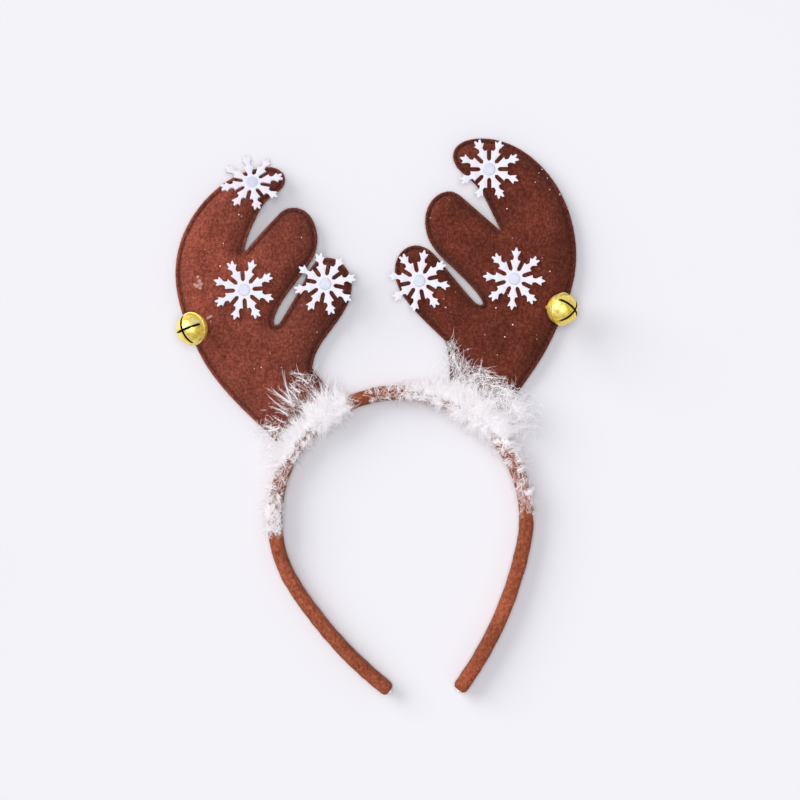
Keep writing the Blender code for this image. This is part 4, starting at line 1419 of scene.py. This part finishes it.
def patch_paths(chance, start, end):
    """Loose mats of barbs that lie on the felt."""
    found = [np.zeros((0, BARB_POINTS, 3))]
    share = np.linspace(0, 1, BARB_POINTS)[None, :]
    for degrees, radius, heading, count, *spreads, reach in DOWN_PATCHES:
        if not start <= degrees < end:
            continue
        degrees_spread, radius_spread, heading_spread = spreads
        size = (count, 1)
        turn = np.radians(degrees + chance.normal(0, degrees_spread, size))
        root = radius + chance.normal(0, radius_spread, size)
        way = np.radians(heading + chance.normal(0, heading_spread, size))
        length = reach * chance.uniform(0.4, 1.3, size)
        bow = chance.normal(0, 0.12, size) * length * np.sin(share * math.pi)
        forward = length * (share - 0.4)
        out = forward * np.cos(way) - bow * np.sin(way)
        aside = forward * np.sin(way) + bow * np.cos(way)
        height = BAND_DEPTH + chance.uniform(0.0, 3.4, size) + 0 * share
        found.append(polar(turn + aside / root, root + out, height))
    return np.concatenate(found)


def clinging_paths(chance, start, end):
    """Barbs that lie along the band and cross over its front."""
    degrees = random_degrees(chance, 4, start, end)
    count = len(degrees)
    share = np.linspace(0, 1, BARB_POINTS)[None, :]
    length = chance.uniform(*CLINGING_LENGTH, (count, 1)) * chance.choice([-1.0, 1.0], (count, 1))
    root = np.radians(degrees)[:, None]
    low, high = math.radians(DOWN_PIECES[0][1] - 1.5), math.radians(DOWN_PIECES[-1][2])
    beyond_end = (root + length / HOOP_RADIUS < low) | (root + length / HOOP_RADIUS > high)
    length = np.where(beyond_end, -length, length)
    turn = root + length / HOOP_RADIUS * share
    middle = chance.uniform(-3.6, 3.6, (count, 1))
    slant = chance.normal(0, 2.2, (count, 1)) * (share - 0.5)
    wave = chance.normal(0, 0.7, (count, 1)) * np.sin(share * 6.0 + chance.uniform(0, 6, (count, 1)))
    radius = HOOP_RADIUS + middle + slant + wave
    bow = chance.uniform(0.1, 1.5, (count, 1)) * np.sin(share * math.pi)
    height = BAND_DEPTH + chance.uniform(0.1, 1.2, (count, 1)) + bow
    beyond = np.maximum(np.abs(radius - HOOP_RADIUS) - BAND_THICKNESS / 2, 0)
    return polar(turn, radius, height - 2.5 * beyond)


def lock_paths(chance, start, end):
    """Barbs stuck together in the locks of the table whose roots lie in a stretch."""
    share = np.linspace(0, 1, BARB_POINTS)
    paths = [np.zeros((0, BARB_POINTS, 3))]
    for root_degrees, root, tip_degrees, tip, bow in LOCKS:
        if not start <= root_degrees < end:
            continue
        aside = LOCK_WIDTH * chance.uniform(-1.0, 1.0, (BARBS_IN_LOCK, 1)) * (1.1 - share)
        reach = (tip - root) * chance.uniform(0.75, 1.0, (BARBS_IN_LOCK, 1))
        turn = np.radians(root_degrees + (tip_degrees - root_degrees) * share)
        turn = turn + (bow * np.sin(share * math.pi) + aside) / root
        height = BAND_DEPTH + 2.4 + chance.uniform(0.0, 0.8, (BARBS_IN_LOCK, 1)) + 0 * share
        paths.append(polar(turn, root + reach * share, height))
    return np.concatenate(paths)


def barbule_paths(chance, paths):
    """Short side barbs that leave the barbs forwards."""
    parent = chance.integers(0, len(paths), round(len(paths) * BARBULE_SHARE))
    at = chance.uniform(0.15, 0.9, len(parent)) * (BARB_POINTS - 1)
    low = at.astype(int)
    rest = (at - low)[:, None]
    before, after = paths[parent, low], paths[parent, low + 1]
    base = before * (1 - rest) + after * rest
    along = unit(after - before + 1e-9)
    aside = unit(chance.normal(size=(len(parent), 3)))
    heading = unit(along * 0.8 + aside)
    length = chance.uniform(0.8, 2.4, (len(parent), 1))
    tip = base + unit(heading + along * 0.7) * length
    return np.stack([base, base + heading * length * 0.5, tip], axis=1)


def down_trim(material):
    """White down, stretch by stretch. The thickest lies over the antlers' feet."""
    for number, (name, start, end) in enumerate(DOWN_PIECES):
        chance = np.random.default_rng(DOWN_SEED + number)
        kinds = (lock_paths, tuft_paths, patch_paths, clinging_paths)
        paths = lifted(np.concatenate([kind(chance, start, end) for kind in kinds]))
        radii = chance.uniform(*BARB_RADIUS, (len(paths), 1)) * np.linspace(1.0, 0.35, BARB_POINTS)
        points, faces = tubes(paths, radii, 3, chance)
        side_paths = lifted(barbule_paths(chance, paths))
        side_radii = np.tile(BARBULE_RADIUS * np.array([1.0, 0.8, 0.3]), (len(side_paths), 1))
        more_points, more_faces = tubes(side_paths, side_radii, 3, chance)
        new_piece(
            f"down_{name}",
            np.vstack([points, more_points]),
            faces + renumbered(more_faces, len(points)),
            material,
            ("feather_trim",),
        )


# Glitter and stray fibres


GLITTER_COUNT = 30
GLITTER_SEED = 40
GLITTER_SIDES = 6
GLITTER_LIFTS = (0.08, 0.14)  # of a grain's two faces over the felt
GLITTER_RADIUS = (0.08, 0.28)
GLITTER_SPOT_RADIUS = (0.3, 0.45)
GLITTER_SPOTS = {
    # the grains that stand out in the photo: x, y
    "left": (
        (-79.2, 86.9), (-78.0, 86.2), (-105.4, 77.4), (-86.8, 72.8), (-48.6, 75.8), (-88.3, 61.6),
        (-41.0, 29.4), (-68.2, 12.0),
    ),
    "right": (
        (69.6, 109.5), (68.0, 107.6), (72.3, 105.2), (73.2, 99.4), (78.4, 97.2), (52.2, 89.9),
        (73.2, 59.1), (55.0, 33.0), (51.1, 27.0), (41.4, 28.0), (33.1, 20.9), (47.4, 18.1),
        (46.8, 41.2), (22.2, 41.4),
    ),
}


def felt_under(pad, spots):
    """Points of the felt straight under a list of places, and the normals there."""
    corners = [Vector(vertex.co) / MM for vertex in pad.data.vertices]
    tree = BVHTree.FromPolygons(corners, [tuple(face.vertices) for face in pad.data.polygons])
    hits = [tree.ray_cast(Vector((x, y, 60.0)), Vector((0.0, 0.0, -1.0))) for x, y in spots]
    found = [hit for hit in hits if hit[0] is not None]
    return np.array([tuple(hit[0]) for hit in found]), np.array([tuple(hit[1]) for hit in found])


def glitter(side, pad, material):
    """Tiny loose glitter grains stuck to the felt."""
    chance = np.random.default_rng(GLITTER_SEED + len(side))
    roots, normals = surface_samples(pad, GLITTER_COUNT, chance, SEAM_HEIGHT + 2.0)
    spots, spot_normals = felt_under(pad, GLITTER_SPOTS[side])
    sizes = [GLITTER_RADIUS] * len(roots) + [GLITTER_SPOT_RADIUS] * len(spots)
    roots = np.vstack([roots, spots])
    normals = np.vstack([normals, spot_normals])
    turns = full_turn(GLITTER_SIDES)
    points, faces = [], []
    for root, normal, size in zip(roots, normals, sizes):
        tilt = unit(normal + chance.normal(0, 0.25, 3))
        a = unit(np.cross(tilt, chance.normal(size=3)))
        b = np.cross(tilt, a)
        radius = chance.uniform(*size)
        faces += renumbered(closed_rings(2, GLITTER_SIDES), len(points))
        for lift in GLITTER_LIFTS:
            points += [
                root + tilt * lift + radius * (a * math.cos(t) + b * math.sin(t)) for t in turns
            ]
    new_piece(f"glitter_{side}", points, faces, material)


def build():
    add_camera()
    add_lights()
    add_floor()
    # One felt in a lit and a shaded copy: the left antler's felt is painted lighter as lit from the left,
    # the right one's painted darker as shaded.
    felts = {
        "left": felt_material(
            "antler_felt_left", (0.094, 0.018, 0.0105), (0.188, 0.0415, 0.0255), (0.34, 0.094, 0.062),
            glue=GLUE_SPOTS, painted_light_falloff=(1.26, 0.56),
        ),
        "right": felt_material(
            "antler_felt_right", (0.057, 0.0107, 0.0057), (0.114, 0.0222, 0.0125), (0.21, 0.053, 0.033),
            painted_light_falloff=(1.0, 0.99),
        ),
    }
    band_felt = felt_material("band_felt", (0.135, 0.027, 0.011), (0.262, 0.062, 0.028), (0.42, 0.13, 0.07))
    brown_thread = thread_material("brown_thread", (0.10, 0.030, 0.022))
    gold_thread = thread_material("gold_thread", (0.62, 0.42, 0.14))
    white = snowflake_material()
    pearl = pearl_material()
    gold = gold_material()
    dark_inside = plain_material("bell_inside", (0.035, 0.022, 0.010), (0.07, 0.045, 0.02), 2.5, 0.6, 0.5)
    steel = plain_material("pellet_steel", (0.40, 0.40, 0.41), (0.58, 0.58, 0.59), 2.0, 0.35, 1.0)
    plastic = plain_material("white_plastic", (0.78, 0.77, 0.72), (0.86, 0.85, 0.80), 4.0, 0.4)
    sparkle = plain_material("glitter", (0.90, 0.62, 0.50), (0.98, 0.86, 0.80), 0.5, 0.35)
    down = down_material()
    for number, (side, felt) in enumerate(felts.items()):
        pad = antler_pad(side, felt)
        stitching(side, brown_thread)
        nap(f"antler_{side}_nap", pad, *ANTLER_NAP, felt, "antler_felt", ANTLER_NAP_SEED + number)
        glitter(side, pad, sparkle)
    sleeve = band_sleeve(band_felt)
    nap("band_nap", sleeve, *BAND_NAP, band_felt, "band_felt", BAND_NAP_SEED)
    core_strip(plastic)
    for row in FLAKES:
        snowflake(*row, white, pearl)
    for row in BELLS:
        bell(*row, gold, dark_inside, steel, gold_thread)
    down_trim(down)


build()
